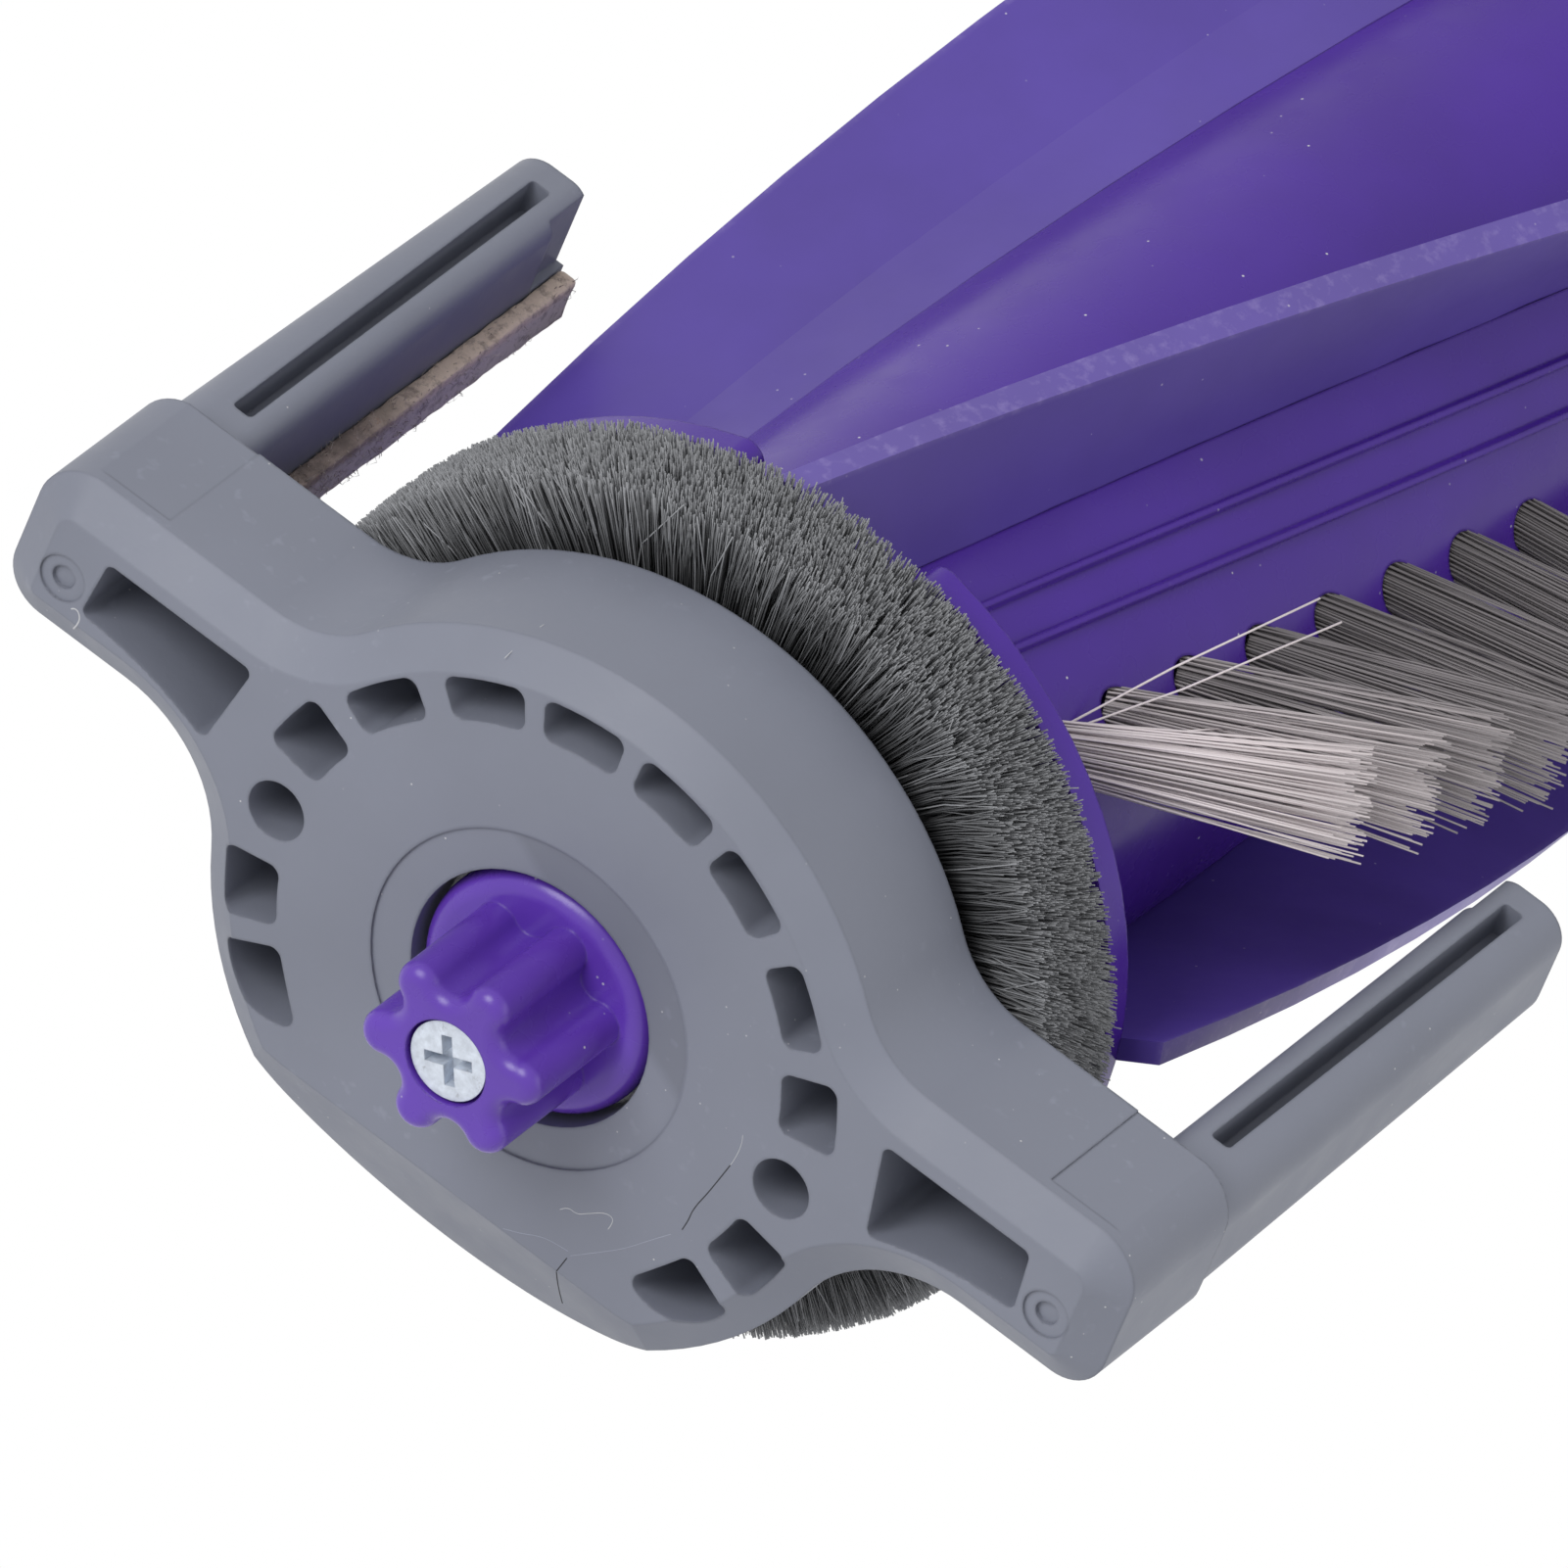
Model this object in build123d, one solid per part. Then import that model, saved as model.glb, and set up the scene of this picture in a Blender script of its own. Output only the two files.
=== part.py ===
from build123d import *
import math
import os

# Robot vacuum main brush, drive end at the low X side, millimetres.
# X runs along the roller axis from the end frame's front face, Z is up, the wings lie along Y.

# End frame, the grey moulding that carries the drive end
FRAME_DEPTH = 10.5
DISC_RADIUS = 21.1
WING_HALF_WIDTH = 36.8
WING_TOP = 10.0
WING_BOTTOM = -0.2
WING_TOP_CORNER = 3.2
WING_BOTTOM_CORNER = 2.6
SHOULDER_FILLET = 6.5
ARMPIT_FILLET = 8.5
FACE_BEVEL_IN = 1.5
FACE_BEVEL_BACK = 2.2
CHORD_RISE = 6.8
CHORD_SLOPE_BACK = 4.4
CHORD_CORNER = 9.0
SHAFT_HOLE_RADIUS = 7.5
FACE_RING_WIDTH = 2.45
FACE_RING_DEPTH = 0.15
LOCATING_HOLE_RADIUS = 1.76
LOCATING_HOLE_OFFSET = 17.06
LOCATING_HOLE_DEPTH = 8.0
POCKET_DEPTH = 5.0
POCKET_CORNER = 0.7
POCKET_RIM = 2.4
POCKET_WIDTH = 2.5
POCKET_HALF_ANGLE = 8.0
TOP_POCKET_ANGLES = (38, 60, 80, 100, 120, 142)
SIDE_POCKET_RIM = 1.7
SIDE_POCKET_WIDTH = 3.5
SIDE_POCKET_NEAR = 11.5
SIDE_POCKET_FAR = 24.5
TAIL_POCKET_NEAR = 29.0
TAIL_POCKET_FAR = 46.0
TAIL_POCKET_TAPER = 0.6
TAIL_POCKET_BEND = 3.0
WINDOW_DEPTH = 8.5
WINDOW_DISC_GAP = 0.2
WINDOW_END_INSET = 5.7
WINDOW_TOP_INSET = 3.1
WINDOW_OUTER_FOOT = 3.1
WINDOW_OUTER_LEAN = 0.4
WINDOW_INNER_FOOT = 1.1
WINDOW_INNER_LEAN = 1.1
WINDOW_SAG = 0.5
WINDOW_CORNER_FILLET = 0.5
DIMPLE_INSET = 3.6
DIMPLE_HEIGHT = 4.1
DIMPLE_RADIUS = 1.4
DIMPLE_DEPTH = 0.15
DIMPLE_CORE_RADIUS = 0.7
DIMPLE_CORE_DEPTH = 0.4
STEP_INSET = 7.1
STEP_HEIGHT = 0.1

# Arms of the end frame and their felt strips
ARM_WIDTH = 5.9
ARM_SETBACK = 0.4
ARM_TAPER = 0.7
ARM_TOP = 7.9
ARM_END = 44.8
ARM_TOP_OUTER_FILLET = 2.0
ARM_TOP_INNER_FILLET = 1.4
ARM_GROOVE_INSET = 3.7
ARM_GROOVE_WIDTH = 1.25
ARM_GROOVE_CORNER = 0.3
ARM_GROOVE_DEPTH = 2.2
ARM_GROOVE_START = 14.6
ARM_GROOVE_END_WALL = 1.8
ARM_RELIEF_LENGTH = 3.3
ARM_RELIEF_DEPTH = 0.5
FELT_THICKNESS = 1.25
FELT_HEIGHT = 2.9
FELT_ROUND = 0.5
FELT_START_GAP = 1.5
FELT_END_GAP = 1.2

# Ball bearings, the same size at both ends
BEARING_BORE_RADIUS = 5.0
BEARING_OUTER_RADIUS = 9.5
BEARING_WIDTH = 5.0
RACE_WALL = 1.3
BALL_RADIUS = 1.19
BALL_COUNT = 9
RACE_CLEARANCE = 0.04
SHIELD_THICKNESS = 0.3
SHIELD_GAP = 0.15
BEARING_FRONT = 2.8
PRESS_CLEARANCE = 0.02
RUNNING_GAP = 0.4

# Drive hub with its star, and its screw
STAR_FRONT = -7.75
STAR_LOBES = 6
STAR_TIP_RADIUS = 5.6
STAR_LOBE_RADIUS = 1.3
STAR_FIRST_LOBE = 40.0
STAR_FRONT_ROUND = 0.9
COLLAR_GAP = 0.35
COLLAR_FRONT = 0.2
COLLAR_ROUND = 1.2
SPIGOT_RADIUS = 3.0
SPIGOT_FLAT = 2.2
SPIGOT_TIP = -2.5
SPIGOT_CLEARANCE = 0.05
SCREW_HEAD_RADIUS = 2.35
SCREW_HEAD_HEIGHT = 1.6
SCREW_HEAD_RIM = 0.3
SCREW_SHANK_RADIUS = 1.25
SCREW_LENGTH = 11.0
SCREW_RECESS = 0.25
SCREW_SEAT_GAP = 0.18
SCREW_SEAT_RIM = 0.4
CROSS_LENGTH = 3.0
CROSS_WIDTH = 0.65
CROSS_DEPTH = 0.9
CROSS_TURN = -25.0

# Roller core
NECK_GAP = 0.5
NECK_LENGTH = 7.4
NECK_STEP = 1.5
FLANGE_THICKNESS = 1.8
FLANGE_RADIUS = 24.3
ROLLER_LENGTH = 209.0
CORE_RADIUS = 16.5
CORE_WALL = 2.6
CORE_END_WALL = 6.0
HELIX_PITCH = 580.0
SLOT_DEPTH = 1.6
SLOT_CLEARANCE = 0.05
NOTCH_CENTRE = 85.5
NOTCH_HALF_ANGLE = 13.5
NOTCH_CORNER = 1.2
RIDGE_ANGLES = (100.5, 110.0)
RIDGE_HEIGHT = 0.45
RIDGE_WIDTH = 1.0
RIDGE_ROOT = 0.5

# Soft fins of the roller, given at the back of the drive flange
PADDLE_CLEARANCE = 2.85
PADDLE_TIP_ANGLE = -11.5
PADDLE_TIP_WIDTH = 1.5
PADDLE_ROOT_ANGLES = (6.0, 24.0)
PADDLE_HOLLOW = 0.9
BLADE_TIP_RADIUS = 24.0
BLADE_TIP_ANGLE = 79.5
BLADE_TIP_WIDTH = 1.7
BLADE_ROOT_ANGLES = (82.0, 90.0)
BLADE_END_ROUND = 2.2

# Bristle tufts
TUFT_ANGLE = 129.5
TUFT_RADIUS = 1.25
TUFT_TIP_RADIUS = 1.75
TUFT_LENGTH = 17.6
TUFT_LEAN = 36.0
TUFT_RAKE = 28.0
TUFT_PITCH = 6.3
TUFT_SEAT = 1.8
TUFT_MARGIN = 4.5
TUFT_CLEARANCE = 0.05
TUFT_END_REACH = 2.0

# Pile rings wound on the two necks
PILE_BACKING = 0.8
PILE_TIP_RADIUS = 25.3
PILE_SIDE_GAP = 0.3
PILE_ROOT_INSET = 0.9
PILE_TIP_ROUND = 1.6

# Idle end
IDLE_PLUG_LENGTH = 14.0
IDLE_PLUG_RIM = 1.6
IDLE_PLUG_CLEARANCE = 0.03
IDLE_SHOULDER_LENGTH = 1.2
WASHER_RADIUS = 6.2
WASHER_THICKNESS = 0.8
IDLE_SCREW_HEAD_RADIUS = 2.6
IDLE_SCREW_HEAD_HEIGHT = 1.7
CAP_WALL = 1.8
CAP_END_WALL = 2.0
CAP_EDGE_FILLET = 1.2
CAP_HEAD_ROOM = 0.8

# Cuts reach this far past the faces that they go through
OVERSHOOT = 1.0
# A vertex is taken to be at a place within this distance
VERTEX_REACH = 0.3
# Half a turn, between the two fins, blades or rows of a kind
HALF_TURN = 180

PARTS_FOLDER = "parts"

# Places that follow from the values above
CHORD_HEIGHT = CHORD_RISE - DISC_RADIUS
FACE_RING_RADIUS = SHAFT_HOLE_RADIUS + FACE_RING_WIDTH
COLLAR_RADIUS = SHAFT_HOLE_RADIUS - COLLAR_GAP
POCKET_OUTER = DISC_RADIUS - POCKET_RIM
POCKET_INNER = POCKET_OUTER - POCKET_WIDTH
SIDE_POCKET_OUTER = DISC_RADIUS - SIDE_POCKET_RIM
SIDE_POCKET_INNER = SIDE_POCKET_OUTER - SIDE_POCKET_WIDTH
ARM_INNER = WING_HALF_WIDTH - ARM_WIDTH
ARM_GROOVE_OFFSET = WING_HALF_WIDTH - ARM_GROOVE_INSET
FELT_TOP = WING_BOTTOM + FELT_HEIGHT
FELT_INNER = ARM_INNER - FELT_THICKNESS
PADDLE_TIP_RADIUS = FELT_INNER - PADDLE_CLEARANCE
TWIST_PER_MM = 360 / HELIX_PITCH
NECK_START = FRAME_DEPTH + NECK_GAP
NECK_RADIUS = CORE_RADIUS - NECK_STEP
FLANGE_FRONT = NECK_START + NECK_LENGTH
FLANGE_BACK = FLANGE_FRONT + FLANGE_THICKNESS
FAR_FLANGE_FRONT = FLANGE_BACK + ROLLER_LENGTH
FAR_FLANGE_BACK = FAR_FLANGE_FRONT + FLANGE_THICKNESS
FAR_NECK_END = FAR_FLANGE_BACK + NECK_LENGTH
BEARING_BACK = BEARING_FRONT + BEARING_WIDTH
CORE_BORE_RADIUS = CORE_RADIUS - CORE_WALL
PLUG_FACE = FAR_NECK_END + IDLE_PLUG_RIM
IDLE_BEARING_FRONT = PLUG_FACE + IDLE_SHOULDER_LENGTH
IDLE_BEARING_BACK = IDLE_BEARING_FRONT + BEARING_WIDTH


def cylinder(radius, start, end):
    """Solid cylinder on the roller axis between two X places."""
    return Solid.make_cylinder(radius, end - start, Plane((start, 0, 0), z_dir=(1, 0, 0)))


def tube(outer, inner, start, end):
    """Ring on the roller axis."""
    return cylinder(outer, start, end) - cylinder(inner, start, end)


def prism(sketch, start, end):
    """Straight prism of a Y Z sketch between two X places."""
    return extrude(Plane.YZ.offset(start) * sketch, amount=end - start)


def turned(points):
    """Solid of revolution about the roller axis from X and radius pairs."""
    profile = Plane.XZ * make_face(Polyline(*points, close=True))
    return revolve(profile, axis=Axis.X)


def polar(radius, angle):
    """Y Z point at a radius and an angle counted from +Y towards +Z."""
    return (radius * math.cos(math.radians(angle)), radius * math.sin(math.radians(angle)))


def at_vertex(sketch, point):
    """Vertices of a sketch that lie at a point."""
    return [v for v in sketch.vertices() if math.hypot(v.X - point[0], v.Y - point[1]) < VERTEX_REACH]


def ring_pocket(inner, outer, low, high):
    """Rounded sector of a ring as a Y Z sketch."""
    middle = (low + high) / 2
    edges = [
        ThreePointArc(polar(outer, low), polar(outer, middle), polar(outer, high)),
        Line(polar(outer, high), polar(inner, high)),
        ThreePointArc(polar(inner, high), polar(inner, middle), polar(inner, low)),
        Line(polar(inner, low), polar(outer, low)),
    ]
    sector = make_face(edges)
    return fillet(sector.vertices(), POCKET_CORNER)


def tail_pocket(side):
    """Curved sliver pocket below a locating hole, side is 1 or -1 along Y."""
    near = -TAIL_POCKET_NEAR
    far = -TAIL_POCKET_FAR
    middle = (near + far) / 2
    bend = polar(SIDE_POCKET_OUTER - TAIL_POCKET_TAPER, middle - TAIL_POCKET_BEND)
    edges = [
        ThreePointArc(polar(SIDE_POCKET_OUTER, near), bend, polar(POCKET_INNER, far)),
        ThreePointArc(polar(POCKET_INNER, far), polar(SIDE_POCKET_INNER, middle), polar(SIDE_POCKET_INNER, near)),
        Line(polar(SIDE_POCKET_INNER, near), polar(SIDE_POCKET_OUTER, near)),
    ]
    sliver = make_face(edges)
    sliver = fillet(sliver.vertices(), POCKET_CORNER)
    return sliver if side > 0 else mirror(sliver, about=Plane.YZ)


def window(side):
    """Trapezoid window beside a wing as a Y Z sketch."""
    inner = DISC_RADIUS + WINDOW_DISC_GAP
    outer = WING_HALF_WIDTH - WINDOW_END_INSET
    inner_top = (inner, WING_TOP - WINDOW_TOP_INSET)
    outer_top = (outer, WING_TOP - WINDOW_TOP_INSET)
    outer_low = (outer + WINDOW_OUTER_LEAN, WING_BOTTOM + WINDOW_OUTER_FOOT)
    inner_low = (inner + WINDOW_INNER_LEAN, WING_BOTTOM + WINDOW_INNER_FOOT)
    sag = ((outer_low[0] + inner_low[0]) / 2, (outer_low[1] + inner_low[1]) / 2 + WINDOW_SAG)
    edges = [
        Line(inner_top, outer_top),
        Line(outer_top, outer_low),
        ThreePointArc(outer_low, sag, inner_low),
        Line(inner_low, inner_top),
    ]
    opening = make_face(edges)
    opening = fillet(opening.vertices(), WINDOW_CORNER_FILLET)
    return opening if side > 0 else mirror(opening, about=Plane.YZ)


def frame_outline():
    """Front outline of the end frame: disc and wings with their fillets."""
    wing_height = WING_TOP - WING_BOTTOM
    wings = Pos(0, WING_BOTTOM + wing_height / 2) * Rectangle(2 * WING_HALF_WIDTH, wing_height)
    outline = Circle(DISC_RADIUS) + wings
    shoulder = math.sqrt(DISC_RADIUS ** 2 - WING_TOP ** 2)
    armpit = math.sqrt(DISC_RADIUS ** 2 - WING_BOTTOM ** 2)
    for side in (1, -1):
        outline = fillet(at_vertex(outline, (side * shoulder, WING_TOP)), SHOULDER_FILLET)
        outline = fillet(at_vertex(outline, (side * armpit, WING_BOTTOM)), ARMPIT_FILLET)
        outline = fillet(at_vertex(outline, (side * WING_HALF_WIDTH, WING_TOP)), WING_TOP_CORNER)
        outline = fillet(at_vertex(outline, (side * WING_HALF_WIDTH, WING_BOTTOM)), WING_BOTTOM_CORNER)
    return outline


def along_arm(arm, side, place, height):
    """Long edges of an arm that pass near a Y and Z place at its root."""
    chosen = []
    for edge in arm.edges():
        root = min(edge @ 0, edge @ 1, key=lambda point: point.X)
        if edge.length > ARM_END / 2 and math.hypot(root.Y - side * place, root.Z - height) < VERTEX_REACH:
            chosen.append(edge)
    return chosen


def frame_arm(side):
    """One grooved arm behind a wing, narrower towards its end and relieved above the felt's end."""
    root = FRAME_DEPTH - OVERSHOOT
    outer = WING_HALF_WIDTH - ARM_SETBACK
    plan = make_face(Polyline(
        (root, side * ARM_INNER),
        (root, side * outer),
        (ARM_END, side * (outer - ARM_TAPER)),
        (ARM_END, side * ARM_INNER),
        close=True))
    arm = extrude(Plane.XY.offset(WING_BOTTOM) * plan, amount=ARM_TOP - WING_BOTTOM, dir=(0, 0, 1))
    arm = fillet(along_arm(arm, side, outer, ARM_TOP), ARM_TOP_OUTER_FILLET)
    arm = fillet(along_arm(arm, side, ARM_INNER, ARM_TOP), ARM_TOP_INNER_FILLET)
    arm = fillet(along_arm(arm, side, outer, WING_BOTTOM), WING_BOTTOM_CORNER)
    groove_start = ARM_GROOVE_START
    groove_end = ARM_END - ARM_GROOVE_END_WALL
    groove = Pos((groove_start + groove_end) / 2, side * ARM_GROOVE_OFFSET) * RectangleRounded(
        groove_end - groove_start, ARM_GROOVE_WIDTH, ARM_GROOVE_CORNER)
    groove = extrude(Plane.XY.offset(ARM_TOP - ARM_GROOVE_DEPTH) * groove, amount=2 * ARM_GROOVE_DEPTH)
    relief_width = ARM_RELIEF_DEPTH + OVERSHOOT
    relief_height = ARM_TOP + OVERSHOOT - FELT_TOP
    relief = Pos(side * (ARM_INNER + ARM_RELIEF_DEPTH - relief_width / 2), FELT_TOP + relief_height / 2) * Rectangle(
        relief_width, relief_height)
    return arm - groove - prism(relief, ARM_END - ARM_RELIEF_LENGTH, ARM_END + OVERSHOOT)


def wing_step(side):
    """Thin slab that lowers the top of a wing's end."""
    middle = side * (WING_HALF_WIDTH + (OVERSHOOT - STEP_INSET) / 2)
    slab = Pos(middle, WING_TOP) * Rectangle(STEP_INSET + OVERSHOOT, 2 * STEP_HEIGHT)
    return prism(slab, FACE_BEVEL_BACK, FRAME_DEPTH + OVERSHOOT)


def chord_cut():
    """Waste below the face's chord, which slopes outwards from the chord to the disc's rim."""
    waste_height = 2 * DISC_RADIUS
    below = Pos(0, CHORD_HEIGHT - waste_height / 2) * Rectangle(2 * waste_height, waste_height)
    face = Circle(DISC_RADIUS) - below
    corner = math.sqrt(DISC_RADIUS ** 2 - CHORD_HEIGHT ** 2)
    for side in (1, -1):
        face = fillet(at_vertex(face, (side * corner, CHORD_HEIGHT)), CHORD_CORNER)
    flare = math.degrees(math.atan2(CHORD_RISE, CHORD_SLOPE_BACK))
    kept = extrude(Plane.YZ * face, amount=CHORD_SLOPE_BACK, taper=-flare)
    kept = kept + prism(face, -2 * OVERSHOOT, 0)
    waste = Pos(0, CHORD_HEIGHT + CHORD_CORNER - waste_height / 2) * Rectangle(2 * waste_height, waste_height)
    return prism(waste, -OVERSHOOT, CHORD_SLOPE_BACK) - kept


def make_end_frame():
    """Grey end frame with its bearing seat, pockets, windows and arms."""
    outline = frame_outline()
    body = prism(outline, 0, FRAME_DEPTH)
    front = body.faces().sort_by(Axis.X)[0]
    bevelled = []
    for edge in front.outer_wire().edges():
        spot = edge @ 0.5
        upper = spot.Z > WING_TOP - WING_TOP_CORNER
        if upper:
            bevelled.append(edge)
    body = chamfer(bevelled, FACE_BEVEL_BACK, FACE_BEVEL_IN, reference=front)
    body = body - chord_cut()
    for side in (1, -1):
        body = body - wing_step(side)
        body = body + frame_arm(side)
    # Shaft hole, bearing seat behind it and the shallow ring on the face
    back = FRAME_DEPTH + OVERSHOOT
    body = body - cylinder(SHAFT_HOLE_RADIUS, -OVERSHOOT, back)
    body = body - cylinder(BEARING_OUTER_RADIUS + PRESS_CLEARANCE, BEARING_FRONT, back)
    body = body - cylinder(FACE_RING_RADIUS, -OVERSHOOT, FACE_RING_DEPTH)
    cuts = []
    for angle in TOP_POCKET_ANGLES:
        low = angle - POCKET_HALF_ANGLE
        high = angle + POCKET_HALF_ANGLE
        cuts.append(prism(ring_pocket(POCKET_INNER, POCKET_OUTER, low, high), -OVERSHOOT, POCKET_DEPTH))
    for low, high in ((SIDE_POCKET_NEAR, SIDE_POCKET_FAR), (-SIDE_POCKET_FAR, -SIDE_POCKET_NEAR)):
        for turn in (1, -1):
            ends = (low, high) if turn > 0 else (HALF_TURN - high, HALF_TURN - low)
            pocket = ring_pocket(SIDE_POCKET_INNER, SIDE_POCKET_OUTER, *ends)
            cuts.append(prism(pocket, -OVERSHOOT, POCKET_DEPTH))
    for side in (1, -1):
        cuts.append(prism(tail_pocket(side), -OVERSHOOT, POCKET_DEPTH))
        cuts.append(prism(window(side), -OVERSHOOT, WINDOW_DEPTH))
        hole = Pos(side * LOCATING_HOLE_OFFSET, 0) * Circle(LOCATING_HOLE_RADIUS)
        cuts.append(prism(hole, -OVERSHOOT, LOCATING_HOLE_DEPTH))
        spot = Pos(side * (WING_HALF_WIDTH - DIMPLE_INSET), DIMPLE_HEIGHT)
        cuts.append(prism(spot * Circle(DIMPLE_RADIUS), -OVERSHOOT, DIMPLE_DEPTH))
        cuts.append(prism(spot * Circle(DIMPLE_CORE_RADIUS), -OVERSHOOT, DIMPLE_CORE_DEPTH))
    for cut in cuts:
        body = body - cut
    return body


def make_felt(side):
    """Felt strip on the inner side of an arm."""
    middle = side * (ARM_INNER - FELT_THICKNESS / 2)
    section = Pos(middle, WING_BOTTOM + FELT_HEIGHT / 2) * Rectangle(FELT_THICKNESS, FELT_HEIGHT)
    corner = (side * FELT_INNER, FELT_TOP)
    section = fillet(at_vertex(section, corner), FELT_ROUND)
    return prism(section, FRAME_DEPTH + FELT_START_GAP, ARM_END - FELT_END_GAP)


def bearing_outer(start):
    """Outer race with its ball groove, front at an X place."""
    ring = tube(BEARING_OUTER_RADIUS, BEARING_OUTER_RADIUS - RACE_WALL, start, start + BEARING_WIDTH)
    return ring - ball_groove(start)


def bearing_inner(start):
    """Inner race with its ball groove."""
    ring = tube(BEARING_BORE_RADIUS + RACE_WALL, BEARING_BORE_RADIUS, start, start + BEARING_WIDTH)
    return ring - ball_groove(start)


def ball_groove(start):
    """Ring that both races are hollowed by."""
    pitch = (BEARING_BORE_RADIUS + BEARING_OUTER_RADIUS) / 2
    return Solid.make_torus(pitch, BALL_RADIUS + RACE_CLEARANCE,
                            Plane((start + BEARING_WIDTH / 2, 0, 0), z_dir=(1, 0, 0)))


def bearing_balls(start):
    """Balls of one bearing."""
    pitch = (BEARING_BORE_RADIUS + BEARING_OUTER_RADIUS) / 2
    balls = []
    for index in range(BALL_COUNT):
        y, z = polar(pitch, 360 * index / BALL_COUNT)
        balls.append(Pos(start + BEARING_WIDTH / 2, y, z) * Solid.make_sphere(BALL_RADIUS))
    return Compound(children=balls)


def bearing_shield(start):
    """Thin metal shield held by the outer race."""
    return tube(BEARING_OUTER_RADIUS - RACE_WALL, BEARING_BORE_RADIUS + RACE_WALL + SHIELD_GAP,
                start + SHIELD_GAP, start + SHIELD_GAP + SHIELD_THICKNESS)


def star_section():
    """Star of round lobes joined by round hollows as a Y Z sketch."""
    lobe_step = 360 / STAR_LOBES
    lobe_centre = STAR_TIP_RADIUS - STAR_LOBE_RADIUS
    side_radius = math.hypot(lobe_centre, STAR_LOBE_RADIUS)
    side_angle = math.degrees(math.atan2(STAR_LOBE_RADIUS, lobe_centre))
    # The sides of two lobes turn towards each other by the angle that the hollow's arc spans
    half_gap = math.radians(lobe_step / 2 - side_angle)
    half_bend = math.radians(HALF_TURN - lobe_step) / 2
    hollow_radius = side_radius * math.sin(half_gap) / math.sin(half_bend)
    floor = side_radius * math.cos(half_gap) - hollow_radius * (1 - math.cos(half_bend))
    edges = []
    for index in range(STAR_LOBES):
        lobe = STAR_FIRST_LOBE + index * lobe_step
        low = polar(side_radius, lobe - side_angle)
        high = polar(side_radius, lobe + side_angle)
        after = polar(side_radius, lobe + lobe_step - side_angle)
        edges.append(ThreePointArc(low, polar(STAR_TIP_RADIUS, lobe), high))
        edges.append(ThreePointArc(high, polar(floor, lobe + lobe_step / 2), after))
    return make_face(edges)


def flatted(radius, flat):
    """Circle with one flat, as a Y Z sketch."""
    keep = Pos(0, flat - radius) * Rectangle(4 * radius, 2 * radius)
    return Circle(radius) & keep


def make_drive_hub():
    """Purple drive hub: star, collar and bearing journal."""
    star = prism(star_section(), STAR_FRONT, COLLAR_FRONT + OVERSHOOT)
    front = star.faces().sort_by(Axis.X)[0]
    star = fillet(front.outer_wire().edges(), STAR_FRONT_ROUND)
    collar = cylinder(COLLAR_RADIUS, COLLAR_FRONT, BEARING_FRONT)
    collar_front = collar.edges().filter_by(GeomType.CIRCLE).sort_by(Axis.X)[0]
    collar = collar.fillet(COLLAR_ROUND, [collar_front])
    hub = star + collar + cylinder(BEARING_BORE_RADIUS - PRESS_CLEARANCE, BEARING_FRONT, BEARING_BACK)
    socket = prism(flatted(SPIGOT_RADIUS + SPIGOT_CLEARANCE, SPIGOT_FLAT + SPIGOT_CLEARANCE),
                   SPIGOT_TIP - SPIGOT_CLEARANCE, BEARING_BACK + OVERSHOOT)
    hub = hub - socket
    seat = turned([
        (STAR_FRONT - OVERSHOOT, 0),
        (STAR_FRONT - OVERSHOOT, SCREW_HEAD_RADIUS + SCREW_SEAT_GAP),
        (STAR_FRONT + SCREW_RECESS + SCREW_SEAT_RIM, SCREW_HEAD_RADIUS + SCREW_SEAT_GAP),
        (STAR_FRONT + SCREW_RECESS + SCREW_HEAD_HEIGHT, SCREW_SHANK_RADIUS + SPIGOT_CLEARANCE),
        (SPIGOT_TIP, SCREW_SHANK_RADIUS + SPIGOT_CLEARANCE),
        (SPIGOT_TIP, 0),
    ])
    return hub - seat


def cross_recess(place, direction):
    """Cross shaped driver recess sunk from an X place."""
    arm_one = Rectangle(CROSS_LENGTH, CROSS_WIDTH)
    arm_two = Rectangle(CROSS_WIDTH, CROSS_LENGTH)
    cross = Rot(0, 0, CROSS_TURN) * (arm_one + arm_two)
    low = min(place, place + direction * CROSS_DEPTH)
    return prism(cross, low, low + CROSS_DEPTH)


def make_hub_screw():
    """Countersunk screw that holds the hub on the core's spigot."""
    head_face = STAR_FRONT + SCREW_RECESS
    screw = turned([
        (head_face, 0),
        (head_face, SCREW_HEAD_RADIUS),
        (head_face + SCREW_HEAD_RIM, SCREW_HEAD_RADIUS),
        (head_face + SCREW_HEAD_HEIGHT, SCREW_SHANK_RADIUS),
        (head_face + SCREW_LENGTH, SCREW_SHANK_RADIUS),
        (head_face + SCREW_LENGTH, 0),
    ])
    return screw - cross_recess(head_face, 1)


def twisted(points, start, end, grow=0.0):
    """Helical body from a Y Z polygon given at the back of the drive flange."""
    section = make_face(Polyline(*points, close=True))
    if grow:
        section = offset(section, amount=grow, kind=Kind.INTERSECTION)
    turn = TWIST_PER_MM * (start - FLANGE_BACK)
    placed = (Plane.YZ.offset(start) * section).rotate(Axis.X, turn)
    angle = TWIST_PER_MM * (end - start)
    return Solid.extrude_linear_with_rotation(placed.face(), (start, 0, 0), (end - start, 0, 0), angle)


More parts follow.
